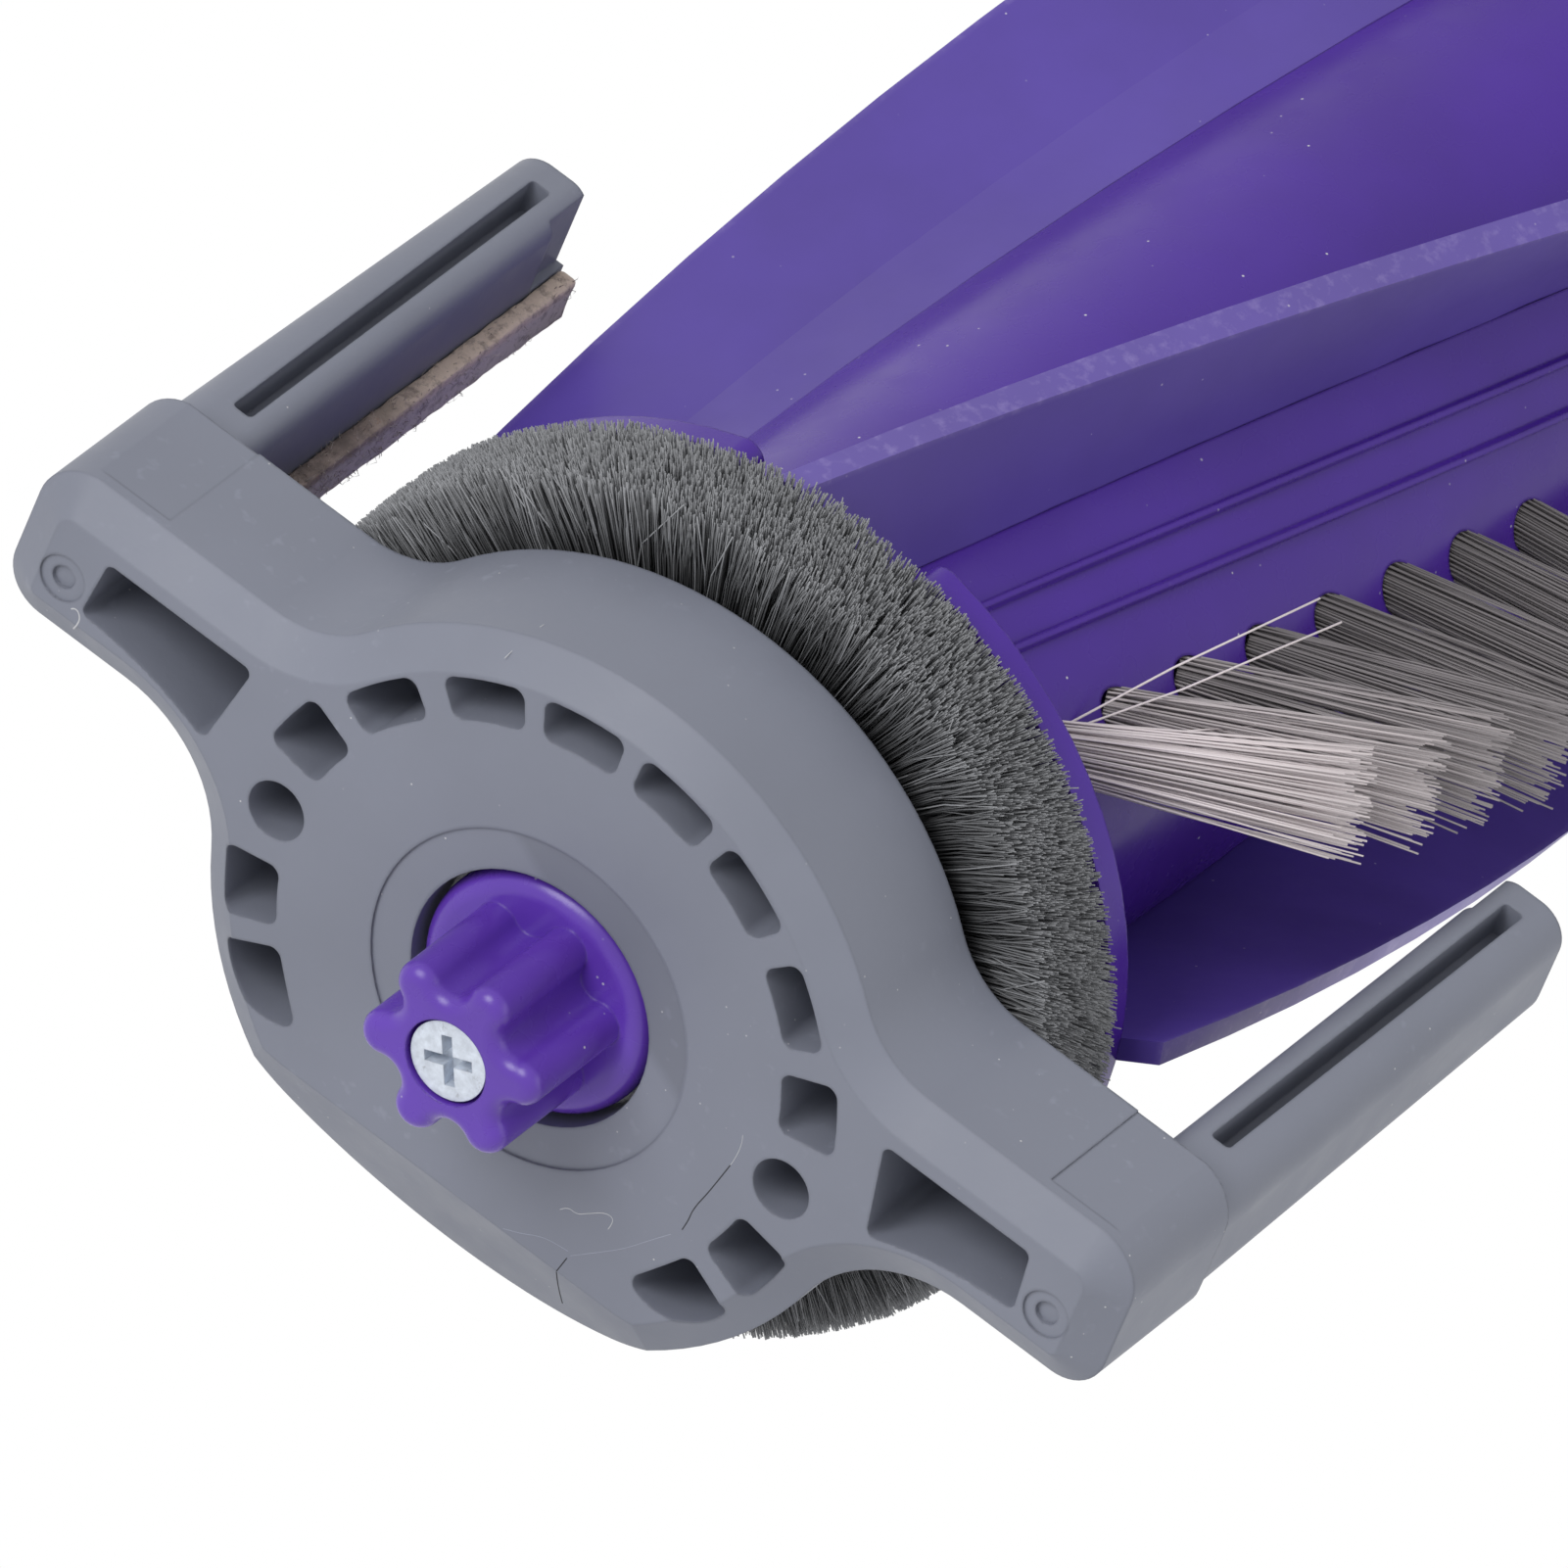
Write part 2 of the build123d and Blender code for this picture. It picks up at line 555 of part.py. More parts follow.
def fin_points(tip_radius, tip_angle, tip_width, roots, hollow):
    """Leaning fin section from its root in the core to its tip."""
    low = polar(CORE_RADIUS - SLOT_DEPTH, roots[0])
    high = polar(CORE_RADIUS - SLOT_DEPTH, roots[1])
    half = math.degrees(tip_width / 2 / tip_radius)
    tip_low = polar(tip_radius, tip_angle - half)
    tip_high = polar(tip_radius, tip_angle + half)
    belly = ((high[0] + tip_high[0]) / 2, (high[1] + tip_high[1]) / 2)
    run = (tip_high[0] - high[0], tip_high[1] - high[1])
    length = math.hypot(*run)
    dip = (belly[0] + run[1] / length * hollow, belly[1] - run[0] / length * hollow)
    return [low, tip_low, tip_high, dip, high]


def half_turn(points):
    """The same section on the other side of the axis."""
    return [(-y, -z) for y, z in points]


def paddle_points():
    return fin_points(PADDLE_TIP_RADIUS, PADDLE_TIP_ANGLE, PADDLE_TIP_WIDTH, PADDLE_ROOT_ANGLES, PADDLE_HOLLOW)


def blade_points():
    return fin_points(BLADE_TIP_RADIUS, BLADE_TIP_ANGLE, BLADE_TIP_WIDTH, BLADE_ROOT_ANGLES, 0.0)


def tuft_places(row):
    """X place and angle of each tuft of a row."""
    count = int((ROLLER_LENGTH - 2 * TUFT_MARGIN) // TUFT_PITCH) + 1
    first = FLANGE_BACK + (ROLLER_LENGTH - (count - 1) * TUFT_PITCH) / 2
    places = []
    for index in range(count):
        x = first + index * TUFT_PITCH
        places.append((x, TUFT_ANGLE + HALF_TURN * row + TWIST_PER_MM * (x - FLANGE_BACK)))
    return places


def tuft_plane(x, angle, depth):
    """Plane at a tuft's root, looking along the leaning tuft."""
    y, z = polar(CORE_RADIUS, angle)
    across = math.cos(math.radians(TUFT_RAKE))
    along = math.sin(math.radians(TUFT_RAKE))
    dy, dz = polar(across, angle + TUFT_LEAN)
    root = (x - depth * along, y - depth * dy, z - depth * dz)
    return Plane(root, x_dir=(across, -along * dy / across, -along * dz / across), z_dir=(along, dy, dz))


def make_bristles(row, beside_arms):
    """Plain tufts of a row that flare towards their tips, beside the arms or beyond them."""
    tufts = []
    for x, angle in tuft_places(row):
        if (x < ARM_END + TUFT_END_REACH) == beside_arms:
            seat = tuft_plane(x, angle, TUFT_SEAT)
            tufts.append(Solid.make_cone(TUFT_RADIUS, TUFT_TIP_RADIUS, TUFT_LENGTH + TUFT_SEAT, seat))
    return Compound(children=tufts)


def flange_notch(start, end, centre):
    """Cut in a flange where a blade's end comes through."""
    low = centre - NOTCH_HALF_ANGLE
    high = centre + NOTCH_HALF_ANGLE
    reach = FLANGE_RADIUS + OVERSHOOT
    floor = CORE_RADIUS - SLOT_DEPTH / 2
    edges = [
        ThreePointArc(polar(floor, low), polar(floor, centre), polar(floor, high)),
        Line(polar(floor, high), polar(reach, high)),
        ThreePointArc(polar(reach, high), polar(reach, centre), polar(reach, low)),
        Line(polar(reach, low), polar(floor, low)),
    ]
    return prism(make_face(edges), start, end)


def notched_flange(start, centre):
    """Flange disc with two opposite notches and rounded corners."""
    end = start + FLANGE_THICKNESS
    flange = cylinder(FLANGE_RADIUS, start, end)
    corners = []
    for turn in (0, HALF_TURN):
        flange = flange - flange_notch(start - OVERSHOOT, end + OVERSHOOT, centre + turn)
        corners.append(polar(FLANGE_RADIUS, centre + turn - NOTCH_HALF_ANGLE))
        corners.append(polar(FLANGE_RADIUS, centre + turn + NOTCH_HALF_ANGLE))
    near_notch = []
    for edge in flange.edges().filter_by(Axis.X):
        spot = edge @ 0.5
        if any(math.hypot(spot.Y - y, spot.Z - z) < VERTEX_REACH for y, z in corners):
            near_notch.append(edge)
    return fillet(near_notch, NOTCH_CORNER)


def make_roller_core():
    """Purple roller core: necks, flanges, tube, fin slots, tuft holes and the drive spigot."""
    far_turn = TWIST_PER_MM * ROLLER_LENGTH
    core = cylinder(CORE_RADIUS, FLANGE_FRONT, FAR_FLANGE_BACK)
    core = core + notched_flange(FLANGE_FRONT, NOTCH_CENTRE)
    core = core + notched_flange(FAR_FLANGE_FRONT, NOTCH_CENTRE + far_turn)
    for angle in RIDGE_ANGLES:
        half = math.degrees(RIDGE_WIDTH / 2 / CORE_RADIUS)
        section = [
            polar(CORE_RADIUS - RIDGE_ROOT, angle - half),
            polar(CORE_RADIUS + RIDGE_HEIGHT, angle - half / 3),
            polar(CORE_RADIUS + RIDGE_HEIGHT, angle + half / 3),
            polar(CORE_RADIUS - RIDGE_ROOT, angle + half),
        ]
        core = core + twisted(section, FLANGE_BACK, FAR_FLANGE_FRONT)
        core = core + twisted(half_turn(section), FLANGE_BACK, FAR_FLANGE_FRONT)
    core = core + cylinder(NECK_RADIUS, NECK_START, FLANGE_FRONT)
    core = core + cylinder(NECK_RADIUS, FAR_FLANGE_BACK, FAR_NECK_END)
    core = core - cylinder(CORE_BORE_RADIUS, FLANGE_FRONT + CORE_END_WALL, FAR_NECK_END + OVERSHOOT)
    neck_bore = NECK_RADIUS - CORE_WALL
    core = core - tube(neck_bore, BEARING_BORE_RADIUS + RACE_WALL, NECK_START - OVERSHOOT, FLANGE_FRONT)
    core = core + cylinder(BEARING_BORE_RADIUS + RACE_WALL - RUNNING_GAP / 2, BEARING_BACK, FLANGE_FRONT)
    core = core + prism(flatted(SPIGOT_RADIUS, SPIGOT_FLAT), SPIGOT_TIP, BEARING_BACK + OVERSHOOT)
    screw_tip = STAR_FRONT + SCREW_RECESS + SCREW_LENGTH
    core = core - cylinder(SCREW_SHANK_RADIUS, SPIGOT_TIP - OVERSHOOT, screw_tip + OVERSHOOT)
    for points, start, end in (
            (paddle_points(), FLANGE_BACK, FAR_FLANGE_FRONT),
            (blade_points(), FLANGE_FRONT, FAR_FLANGE_BACK)):
        core = core - twisted(points, start, end, SLOT_CLEARANCE)
        core = core - twisted(half_turn(points), start, end, SLOT_CLEARANCE)
    tuft_flare = (TUFT_TIP_RADIUS - TUFT_RADIUS) / (TUFT_LENGTH + TUFT_SEAT)
    hole_radius = TUFT_RADIUS + tuft_flare * (TUFT_SEAT + TUFT_END_REACH) + TUFT_CLEARANCE
    for row in (0, 1):
        for x, angle in tuft_places(row):
            seat = tuft_plane(x, angle, TUFT_SEAT)
            core = core - Solid.make_cylinder(hole_radius, TUFT_SEAT + TUFT_END_REACH, seat)
    return core


def make_paddle(row):
    points = paddle_points()
    if row:
        points = half_turn(points)
    return twisted(points, FLANGE_BACK, FAR_FLANGE_FRONT)


def end_round(place, inward):
    """Ring that rounds the outer corner of a blade's end."""
    rim = BLADE_TIP_RADIUS
    low = rim - BLADE_END_ROUND
    middle = BLADE_END_ROUND * math.sqrt(0.5)
    inner_end = place + inward * BLADE_END_ROUND
    edges = [
        Line((place - inward * OVERSHOOT, low), (place, low)),
        ThreePointArc((place, low), (inner_end - inward * middle, low + middle), (inner_end, rim)),
        Line((inner_end, rim), (inner_end, rim + OVERSHOOT)),
        Line((inner_end, rim + OVERSHOOT), (place - inward * OVERSHOOT, rim + OVERSHOOT)),
        Line((place - inward * OVERSHOOT, rim + OVERSHOOT), (place - inward * OVERSHOOT, low)),
    ]
    return revolve(Plane.XZ * make_face(edges), axis=Axis.X)


def make_blade(row):
    points = blade_points()
    if row:
        points = half_turn(points)
    blade = twisted(points, FLANGE_FRONT, FAR_FLANGE_BACK)
    return blade - end_round(FLANGE_FRONT, 1) - end_round(FAR_FLANGE_BACK, -1)


def make_pile_backing(start, end):
    """Woven backing of a pile ring, wound on a neck."""
    return tube(NECK_RADIUS + PILE_BACKING, NECK_RADIUS, start, end)


def make_pile(start, end):
    """Dense pile ring as a rounded collar."""
    inner = NECK_RADIUS + PILE_BACKING
    shoulder = PILE_TIP_RADIUS - PILE_TIP_ROUND
    return turned([
        (start + PILE_ROOT_INSET, inner),
        (end - PILE_ROOT_INSET, inner),
        (end, shoulder),
        (end - PILE_TIP_ROUND, PILE_TIP_RADIUS),
        (start + PILE_TIP_ROUND, PILE_TIP_RADIUS),
        (start, shoulder),
    ])


def make_idle_plug():
    """Plug in the core's open end with the journal of the idle bearing."""
    plug_start = FAR_NECK_END - IDLE_PLUG_LENGTH
    plug = cylinder(CORE_BORE_RADIUS - IDLE_PLUG_CLEARANCE, plug_start, FAR_NECK_END)
    plug = plug - cylinder(CORE_BORE_RADIUS - CORE_WALL, plug_start - OVERSHOOT, FAR_NECK_END - IDLE_PLUG_RIM)
    plug = plug + cylinder(NECK_RADIUS, FAR_NECK_END, PLUG_FACE)
    plug = plug + cylinder(BEARING_BORE_RADIUS + RACE_WALL - RUNNING_GAP / 2, PLUG_FACE, IDLE_BEARING_FRONT)
    plug = plug + cylinder(BEARING_BORE_RADIUS - PRESS_CLEARANCE, plug_start + IDLE_PLUG_RIM, IDLE_BEARING_BACK)
    screw_tip = IDLE_BEARING_BACK - SCREW_LENGTH
    return plug - cylinder(SCREW_SHANK_RADIUS, screw_tip - OVERSHOOT, IDLE_BEARING_BACK + OVERSHOOT)


def make_idle_washer():
    """Washer that keeps the idle bearing on its journal."""
    return tube(WASHER_RADIUS, SCREW_SHANK_RADIUS + SPIGOT_CLEARANCE,
                IDLE_BEARING_BACK, IDLE_BEARING_BACK + WASHER_THICKNESS)


def make_idle_screw():
    """Pan head screw of the idle end."""
    head = IDLE_BEARING_BACK + WASHER_THICKNESS
    tip = IDLE_BEARING_BACK - SCREW_LENGTH
    screw = cylinder(SCREW_SHANK_RADIUS, tip, head) + cylinder(
        IDLE_SCREW_HEAD_RADIUS, head, head + IDLE_SCREW_HEAD_HEIGHT)
    return screw - cross_recess(head + IDLE_SCREW_HEAD_HEIGHT, -1)


def make_idle_cap():
    """Plain round bearing cap of the idle end."""
    outer = BEARING_OUTER_RADIUS + CAP_WALL
    start = IDLE_BEARING_FRONT - IDLE_SHOULDER_LENGTH + RUNNING_GAP
    room = IDLE_BEARING_BACK + WASHER_THICKNESS + IDLE_SCREW_HEAD_HEIGHT + CAP_HEAD_ROOM
    cap = cylinder(outer, start, room + CAP_END_WALL)
    rim = cap.edges().filter_by(GeomType.CIRCLE).sort_by(Axis.X)[-1]
    cap = cap.fillet(CAP_EDGE_FILLET, [rim])
    cap = cap - cylinder(BEARING_OUTER_RADIUS + PRESS_CLEARANCE, start - OVERSHOOT, IDLE_BEARING_BACK)
    return cap - cylinder(BEARING_OUTER_RADIUS - RACE_WALL, IDLE_BEARING_BACK - OVERSHOOT, room)


def build_nodes():
    """All pieces by name."""
    drive_pile_start = FRAME_DEPTH + PILE_SIDE_GAP + RUNNING_GAP
    idle_pile_end = FAR_NECK_END
    return {
        "end_frame": make_end_frame(),
        "felt_left": make_felt(1),
        "felt_right": make_felt(-1),
        "drive_bearing_outer": bearing_outer(BEARING_FRONT),
        "drive_bearing_shield": bearing_shield(BEARING_FRONT),
        "drive_bearing_inner": bearing_inner(BEARING_FRONT),
        "drive_bearing_balls": bearing_balls(BEARING_FRONT),
        "drive_hub": make_drive_hub(),
        "hub_screw": make_hub_screw(),
        "roller_core": make_roller_core(),
        "paddle_a": make_paddle(0),
        "paddle_b": make_paddle(1),
        "blade_a": make_blade(0),
        "blade_b": make_blade(1),
        "bristle_row_a": make_bristles(0, False),
        "bristle_row_b": make_bristles(1, False),
        "bristle_end_a": make_bristles(0, True),
        "bristle_end_b": make_bristles(1, True),
        "drive_pile_backing": make_pile_backing(drive_pile_start + PILE_ROOT_INSET, FLANGE_FRONT),
        "drive_pile": make_pile(drive_pile_start, FLANGE_FRONT - PILE_SIDE_GAP),
        "idle_pile_backing": make_pile_backing(FAR_FLANGE_BACK, idle_pile_end),
        "idle_pile": make_pile(FAR_FLANGE_BACK + PILE_SIDE_GAP, idle_pile_end),
        "idle_plug": make_idle_plug(),
        "idle_bearing_inner": bearing_inner(IDLE_BEARING_FRONT),
        "idle_bearing_balls": bearing_balls(IDLE_BEARING_FRONT),
        "idle_bearing_outer": bearing_outer(IDLE_BEARING_FRONT),
        "idle_washer": make_idle_washer(),
        "idle_screw": make_idle_screw(),
        "idle_cap": make_idle_cap(),
    }


def main():
    os.makedirs(PARTS_FOLDER, exist_ok=True)
    for name, shape in build_nodes().items():
        export_step(shape, os.path.join(PARTS_FOLDER, name + ".step"))
        print(name, len(shape.solids()), round(shape.volume, 1), shape.is_valid)


main()
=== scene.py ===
import math
from typing import NamedTuple

import bpy
import numpy as np
from mathutils import Matrix, Vector, noise


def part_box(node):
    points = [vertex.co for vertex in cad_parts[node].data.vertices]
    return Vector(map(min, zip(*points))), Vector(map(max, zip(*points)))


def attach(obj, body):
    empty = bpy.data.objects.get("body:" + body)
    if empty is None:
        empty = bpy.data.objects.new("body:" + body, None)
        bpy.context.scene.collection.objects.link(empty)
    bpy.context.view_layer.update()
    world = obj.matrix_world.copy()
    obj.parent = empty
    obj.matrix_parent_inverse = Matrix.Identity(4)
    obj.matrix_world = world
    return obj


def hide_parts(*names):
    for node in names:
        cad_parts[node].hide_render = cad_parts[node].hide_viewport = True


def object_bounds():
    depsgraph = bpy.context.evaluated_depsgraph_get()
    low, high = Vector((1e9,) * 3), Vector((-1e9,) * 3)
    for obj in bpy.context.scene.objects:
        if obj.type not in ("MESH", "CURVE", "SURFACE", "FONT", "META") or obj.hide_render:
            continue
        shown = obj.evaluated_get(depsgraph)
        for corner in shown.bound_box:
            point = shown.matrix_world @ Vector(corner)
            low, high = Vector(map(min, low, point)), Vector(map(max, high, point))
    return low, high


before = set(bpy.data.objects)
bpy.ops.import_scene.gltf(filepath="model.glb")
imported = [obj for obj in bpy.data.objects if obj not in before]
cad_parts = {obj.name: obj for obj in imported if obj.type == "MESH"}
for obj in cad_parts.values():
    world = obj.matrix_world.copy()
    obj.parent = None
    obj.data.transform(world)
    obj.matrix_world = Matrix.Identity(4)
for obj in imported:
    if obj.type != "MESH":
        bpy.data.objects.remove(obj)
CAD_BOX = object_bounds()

bl_info = {
    "name": "Vacuum Brush Finish",
    "version": (1, 0, 0),
    "blender": (4, 5, 0),
    "location": "View3D > Sidebar > Vacuum Brush",
    "description": "Finishes a robot vacuum's main brush: plastics, pile, bristles, felt and wear",
    "category": "Object",
}

# Bodies and nodes of the brush
FRAME_BODY = "end_frame_body"
ROLLER_BODY = "roller"
STEEL_NODES = (
    "drive_bearing_outer",
    "drive_bearing_shield",
    "drive_bearing_inner",
    "drive_bearing_balls",
    "idle_bearing_outer",
    "idle_bearing_inner",
    "idle_bearing_balls",
)
ZINC_NODES = ("hub_screw", "idle_screw", "idle_washer")
HUB_NODES = ("drive_hub", "idle_plug")
CORE_NODES = ("roller_core",)
PADDLE_NODES = ("paddle_a", "paddle_b")
BLADE_NODES = ("blade_a", "blade_b")
GREY_NODES = ("end_frame", "idle_cap")

# A millimetre in metres, and turns in radians
MM = 0.001
HALF_PI = math.pi / 2
FULL_TURN = 2 * math.pi
GOLDEN_TURN = math.pi * (3 - math.sqrt(5))

# Seeds of the random draws
SEED = 11
IDLE_PILE_SEED = SEED + 9
TUFT_END_SEED = SEED + 5
FELT_LEFT_SEED = SEED + 20
FELT_RIGHT_SEED = SEED + 21


class BrushSizes(bpy.types.PropertyGroup):
    """Sizes of what is grown on the brush."""

    pile_fibres: bpy.props.IntProperty(
        name="Drive pile fibres", description="Fibres in the pile ring at the drive end",
        default=36000, min=100)
    idle_pile_fibres: bpy.props.IntProperty(
        name="Idle pile fibres", description="Fibres in the pile ring at the idle end",
        default=13000, min=100)
    pile_fibre_radius: bpy.props.FloatProperty(
        name="Pile fibre radius", description="Radius of a pile fibre at its root",
        default=0.062 * MM, precision=6, subtype="DISTANCE", unit="LENGTH")
    pile_raggedness: bpy.props.FloatProperty(
        name="Pile raggedness", description="How far a fibre may end below the ring's outer radius",
        default=1.0 * MM, precision=5, subtype="DISTANCE", unit="LENGTH")
    tuft_filaments: bpy.props.IntProperty(
        name="Tuft filaments", description="Filaments in one bristle tuft", default=130, min=8)
    filament_radius: bpy.props.FloatProperty(
        name="Filament radius", description="Radius of a bristle filament",
        default=0.080 * MM, precision=6, subtype="DISTANCE", unit="LENGTH")
    felt_lint: bpy.props.IntProperty(
        name="Felt lint", description="Loose hairs on one felt strip", default=1800, min=10)
    lint_radius: bpy.props.FloatProperty(
        name="Lint radius", description="Radius of a loose hair on the felt",
        default=0.03 * MM, precision=6, subtype="DISTANCE", unit="LENGTH")


class BrushColours(bpy.types.PropertyGroup):
    """Colours of the finishes."""

    grey_plastic: bpy.props.FloatVectorProperty(
        name="Grey plastic", description="Satin grey of the end frame",
        subtype="COLOR", default=(0.184, 0.196, 0.242), min=0, max=1)
    hub_purple: bpy.props.FloatVectorProperty(
        name="Hub purple", description="Glossy purple of the drive hub",
        subtype="COLOR", default=(0.100, 0.036, 0.362), min=0, max=1)
    core_purple: bpy.props.FloatVectorProperty(
        name="Core purple", description="Deep purple of the roller core",
        subtype="COLOR", default=(0.058, 0.015, 0.270), min=0, max=1)
    fin_purple: bpy.props.FloatVectorProperty(
        name="Soft purple", description="Matte purple of the soft fins",
        subtype="COLOR", default=(0.080, 0.046, 0.300), min=0, max=1)
    pile_grey: bpy.props.FloatVectorProperty(
        name="Pile grey", description="Grey of the pile tips",
        subtype="COLOR", default=(0.188, 0.192, 0.202), min=0, max=1)
    bristle_grey: bpy.props.FloatVectorProperty(
        name="Bristle grey", description="Warm grey of the bristle filaments",
        subtype="COLOR", default=(0.300, 0.275, 0.285), min=0, max=1)
    felt_brown: bpy.props.FloatVectorProperty(
        name="Felt brown", description="Brown of the dirty felt strips",
        subtype="COLOR", default=(0.270, 0.215, 0.190), min=0, max=1)
    steel: bpy.props.FloatVectorProperty(
        name="Steel", description="Bright bearing steel",
        subtype="COLOR", default=(0.86, 0.86, 0.88), min=0, max=1)
    zinc: bpy.props.FloatVectorProperty(
        name="Zinc", description="Zinc plating of the screws",
        subtype="COLOR", default=(0.62, 0.67, 0.75), min=0, max=1)


# Photograph's camera, turned round the object and rolled about its line of sight
CAMERA_AZIMUTH = -70.38
CAMERA_ELEVATION = 40.53
CAMERA_ROLL = 23.7
CAMERA_TARGET = (0.01220, -0.00385, 0.01194)
CAMERA_DISTANCE = 2.51355
CAMERA_LENS = 1103.4
CAMERA_SENSOR = 36.0
CLIP_START = 0.1
CLIP_END = 20.0

# Studio
WHITE = (1, 1, 1, 1)
FLOOR_GAP = 0.10
FLOOR_SIZE = 12.0
FLOOR_COLOUR = (0.8, 0.8, 0.8, 1.0)
FLOOR_ROUGHNESS = 0.9
KEY_PLACE = (-0.64, 0.34, 0.66)
KEY_SIZE = 0.6
KEY_POWER = 6.3
FILL_PLACE = (0.15, -0.70, 0.35)
FILL_SIZE = 0.7
FILL_POWER = 1.1
AMBIENT = 0.62


def colours():
    return bpy.context.scene.brush_colours


def sizes():
    return bpy.context.scene.brush_sizes


def deselect():
    """Leaves nothing selected, so that the next operator acts on its own piece only."""
    if bpy.context.mode != "OBJECT":
        bpy.ops.object.mode_set(mode="OBJECT")
    bpy.ops.object.select_all(action="DESELECT")


class Pattern(NamedTuple):
    """A noise, the range of it that shows, and how strongly it shows there."""

    scale: float
    detail: float = 3.0
    roughness: float = 0.55
    start: float = 0.35
    end: float = 0.65
    least: float = 0.0
    most: float = 1.0


class Surface(NamedTuple):
    """How a finish takes the light: roughness that follows one noise, and relief that follows another."""

    sheen_scale: float
    smoothest: float
    roughest: float
    sheen_detail: float = 3.0
    gloss: float = 0.5
    metal: float = 0.0
    relief_scale: float = 0.0
    relief_detail: float = 3.0
    relief_roughness: float = 0.55
    depth: float = 0.0
    strength: float = 1.0
    edge: float = 0.0


# Colour sockets of a mix node
MIX_FIRST = 6
MIX_SECOND = 7
MIX_RESULT = 2

# Noise at which a surface is smoothest and roughest
SHEEN_LOW = 0.3
SHEEN_HIGH = 0.7

# Share of a dust speck's radius that is wholly covered
SPECK_CORE = 0.6

# Rays that look for an edge to soften
EDGE_SAMPLES = 2


class Finish:
    """A material under construction: its nodes, its links and its main shader."""

    def __init__(self, name):
        self.material = bpy.data.materials.new(name)
        self.material.use_nodes = True
        self.nodes = self.material.node_tree.nodes
        self.links = self.material.node_tree.links
        self.shader = self.nodes["Principled BSDF"]
        self.place = self.nodes.new("ShaderNodeTexCoord").outputs["Object"]

    def link(self, source, target):
        self.links.new(source, target)

    def grain(self, scale, detail=3.0, roughness=0.55):
        """Noise on the piece's own coordinates, as a value."""
        node = self.nodes.new("ShaderNodeTexNoise")
        node.inputs["Scale"].default_value = scale
        node.inputs["Detail"].default_value = detail
        node.inputs["Roughness"].default_value = roughness
        self.link(self.place, node.inputs["Vector"])
        return node.outputs["Fac"]

    def specks(self, scale, radius):
        """Small round spots scattered over the surface, one inside and nought outside."""
        node = self.nodes.new("ShaderNodeTexVoronoi")
        node.inputs["Scale"].default_value = scale
        self.link(self.place, node.inputs["Vector"])
        return self.span(node.outputs["Distance"], radius, radius * SPECK_CORE)

    def attribute(self, name):
        node = self.nodes.new("ShaderNodeAttribute")
        node.attribute_name = name
        return node.outputs["Fac"]

    def span(self, value, start, end, least=0.0, most=1.0):
        """A value that rises from least to most between a start and an end, and is clamped."""
        node = self.nodes.new("ShaderNodeMapRange")
        node.inputs["From Min"].default_value = start
        node.inputs["From Max"].default_value = end
        node.inputs["To Min"].default_value = least
        node.inputs["To Max"].default_value = most
        self.link(value, node.inputs["Value"])
        return node.outputs["Result"]

    def times(self, one, other):
        node = self.nodes.new("ShaderNodeMath")
        node.operation = "MULTIPLY"
        self.link(one, node.inputs[0])
        self.link(other, node.inputs[1])
        return node.outputs["Value"]

    def blend(self, value, first, second):
        """Colour between two, each a colour or a socket."""
        node = self.nodes.new("ShaderNodeMix")
        node.data_type = "RGBA"
        self.link(value, node.inputs["Factor"])
        for socket, colour in ((node.inputs[MIX_FIRST], first), (node.inputs[MIX_SECOND], second)):
            if isinstance(colour, bpy.types.NodeSocket):
                self.link(colour, socket)
            else:
                socket.default_value = (*colour[:3], 1.0)
        return node.outputs[MIX_RESULT]

    def pattern(self, made):
        """Share of the colour that a pattern takes."""
        value = self.grain(made.scale, made.detail, made.roughness)
        return self.span(value, made.start, made.end, made.least, made.most)

    def clouds(self, made, base, dark, light):
        """A colour in two shades that follow a pattern."""
        return self.blend(self.pattern(made), shade(base, dark), shade(base, light))

    def dusted(self, made, tint, dust, scale, radius):
        """Specks of dust over a colour, where a pattern lets them lie."""
        return self.blend(self.times(self.specks(scale, radius), self.pattern(made)), tint, dust)

    def tinted(self, label, tint, colour, start, end, most=1.0):
        """A colour over another where a value that the fibres carry goes from a start to an end."""
        return self.blend(self.span(self.attribute(label), start, end, most=most), tint, colour)

    def colour(self, socket):
        self.link(socket, self.shader.inputs["Base Color"])

    def from_axis(self):
        """Distance from the roller axis."""
        flat = self.nodes.new("ShaderNodeVectorMath")
        flat.operation = "MULTIPLY"
        flat.inputs[1].default_value = (0.0, 1.0, 1.0)
        self.link(self.place, flat.inputs[0])
        length = self.nodes.new("ShaderNodeVectorMath")
        length.operation = "LENGTH"
        self.link(flat.outputs["Vector"], length.inputs[0])
        return length.outputs["Value"]

    def towards(self, direction):
        """How far a point lies in a direction from the origin."""
        node = self.nodes.new("ShaderNodeVectorMath")
        node.operation = "DOT_PRODUCT"
        node.inputs[1].default_value = direction
        self.link(self.place, node.inputs[0])
        return node.outputs["Value"]

    def surface(self, made):
        """Roughness, gloss, share of metal and, where it has one, the relief."""
        sheen = self.grain(made.sheen_scale, made.sheen_detail)
        roughness = self.span(sheen, SHEEN_LOW, SHEEN_HIGH, made.smoothest, made.roughest)
        self.link(roughness, self.shader.inputs["Roughness"])
        self.shader.inputs["Specular IOR Level"].default_value = made.gloss
        self.shader.inputs["Metallic"].default_value = made.metal
        if made.relief_scale:
            relief = self.grain(made.relief_scale, made.relief_detail, made.relief_roughness)
            self.bump(relief, made.depth, made.strength, made.edge)

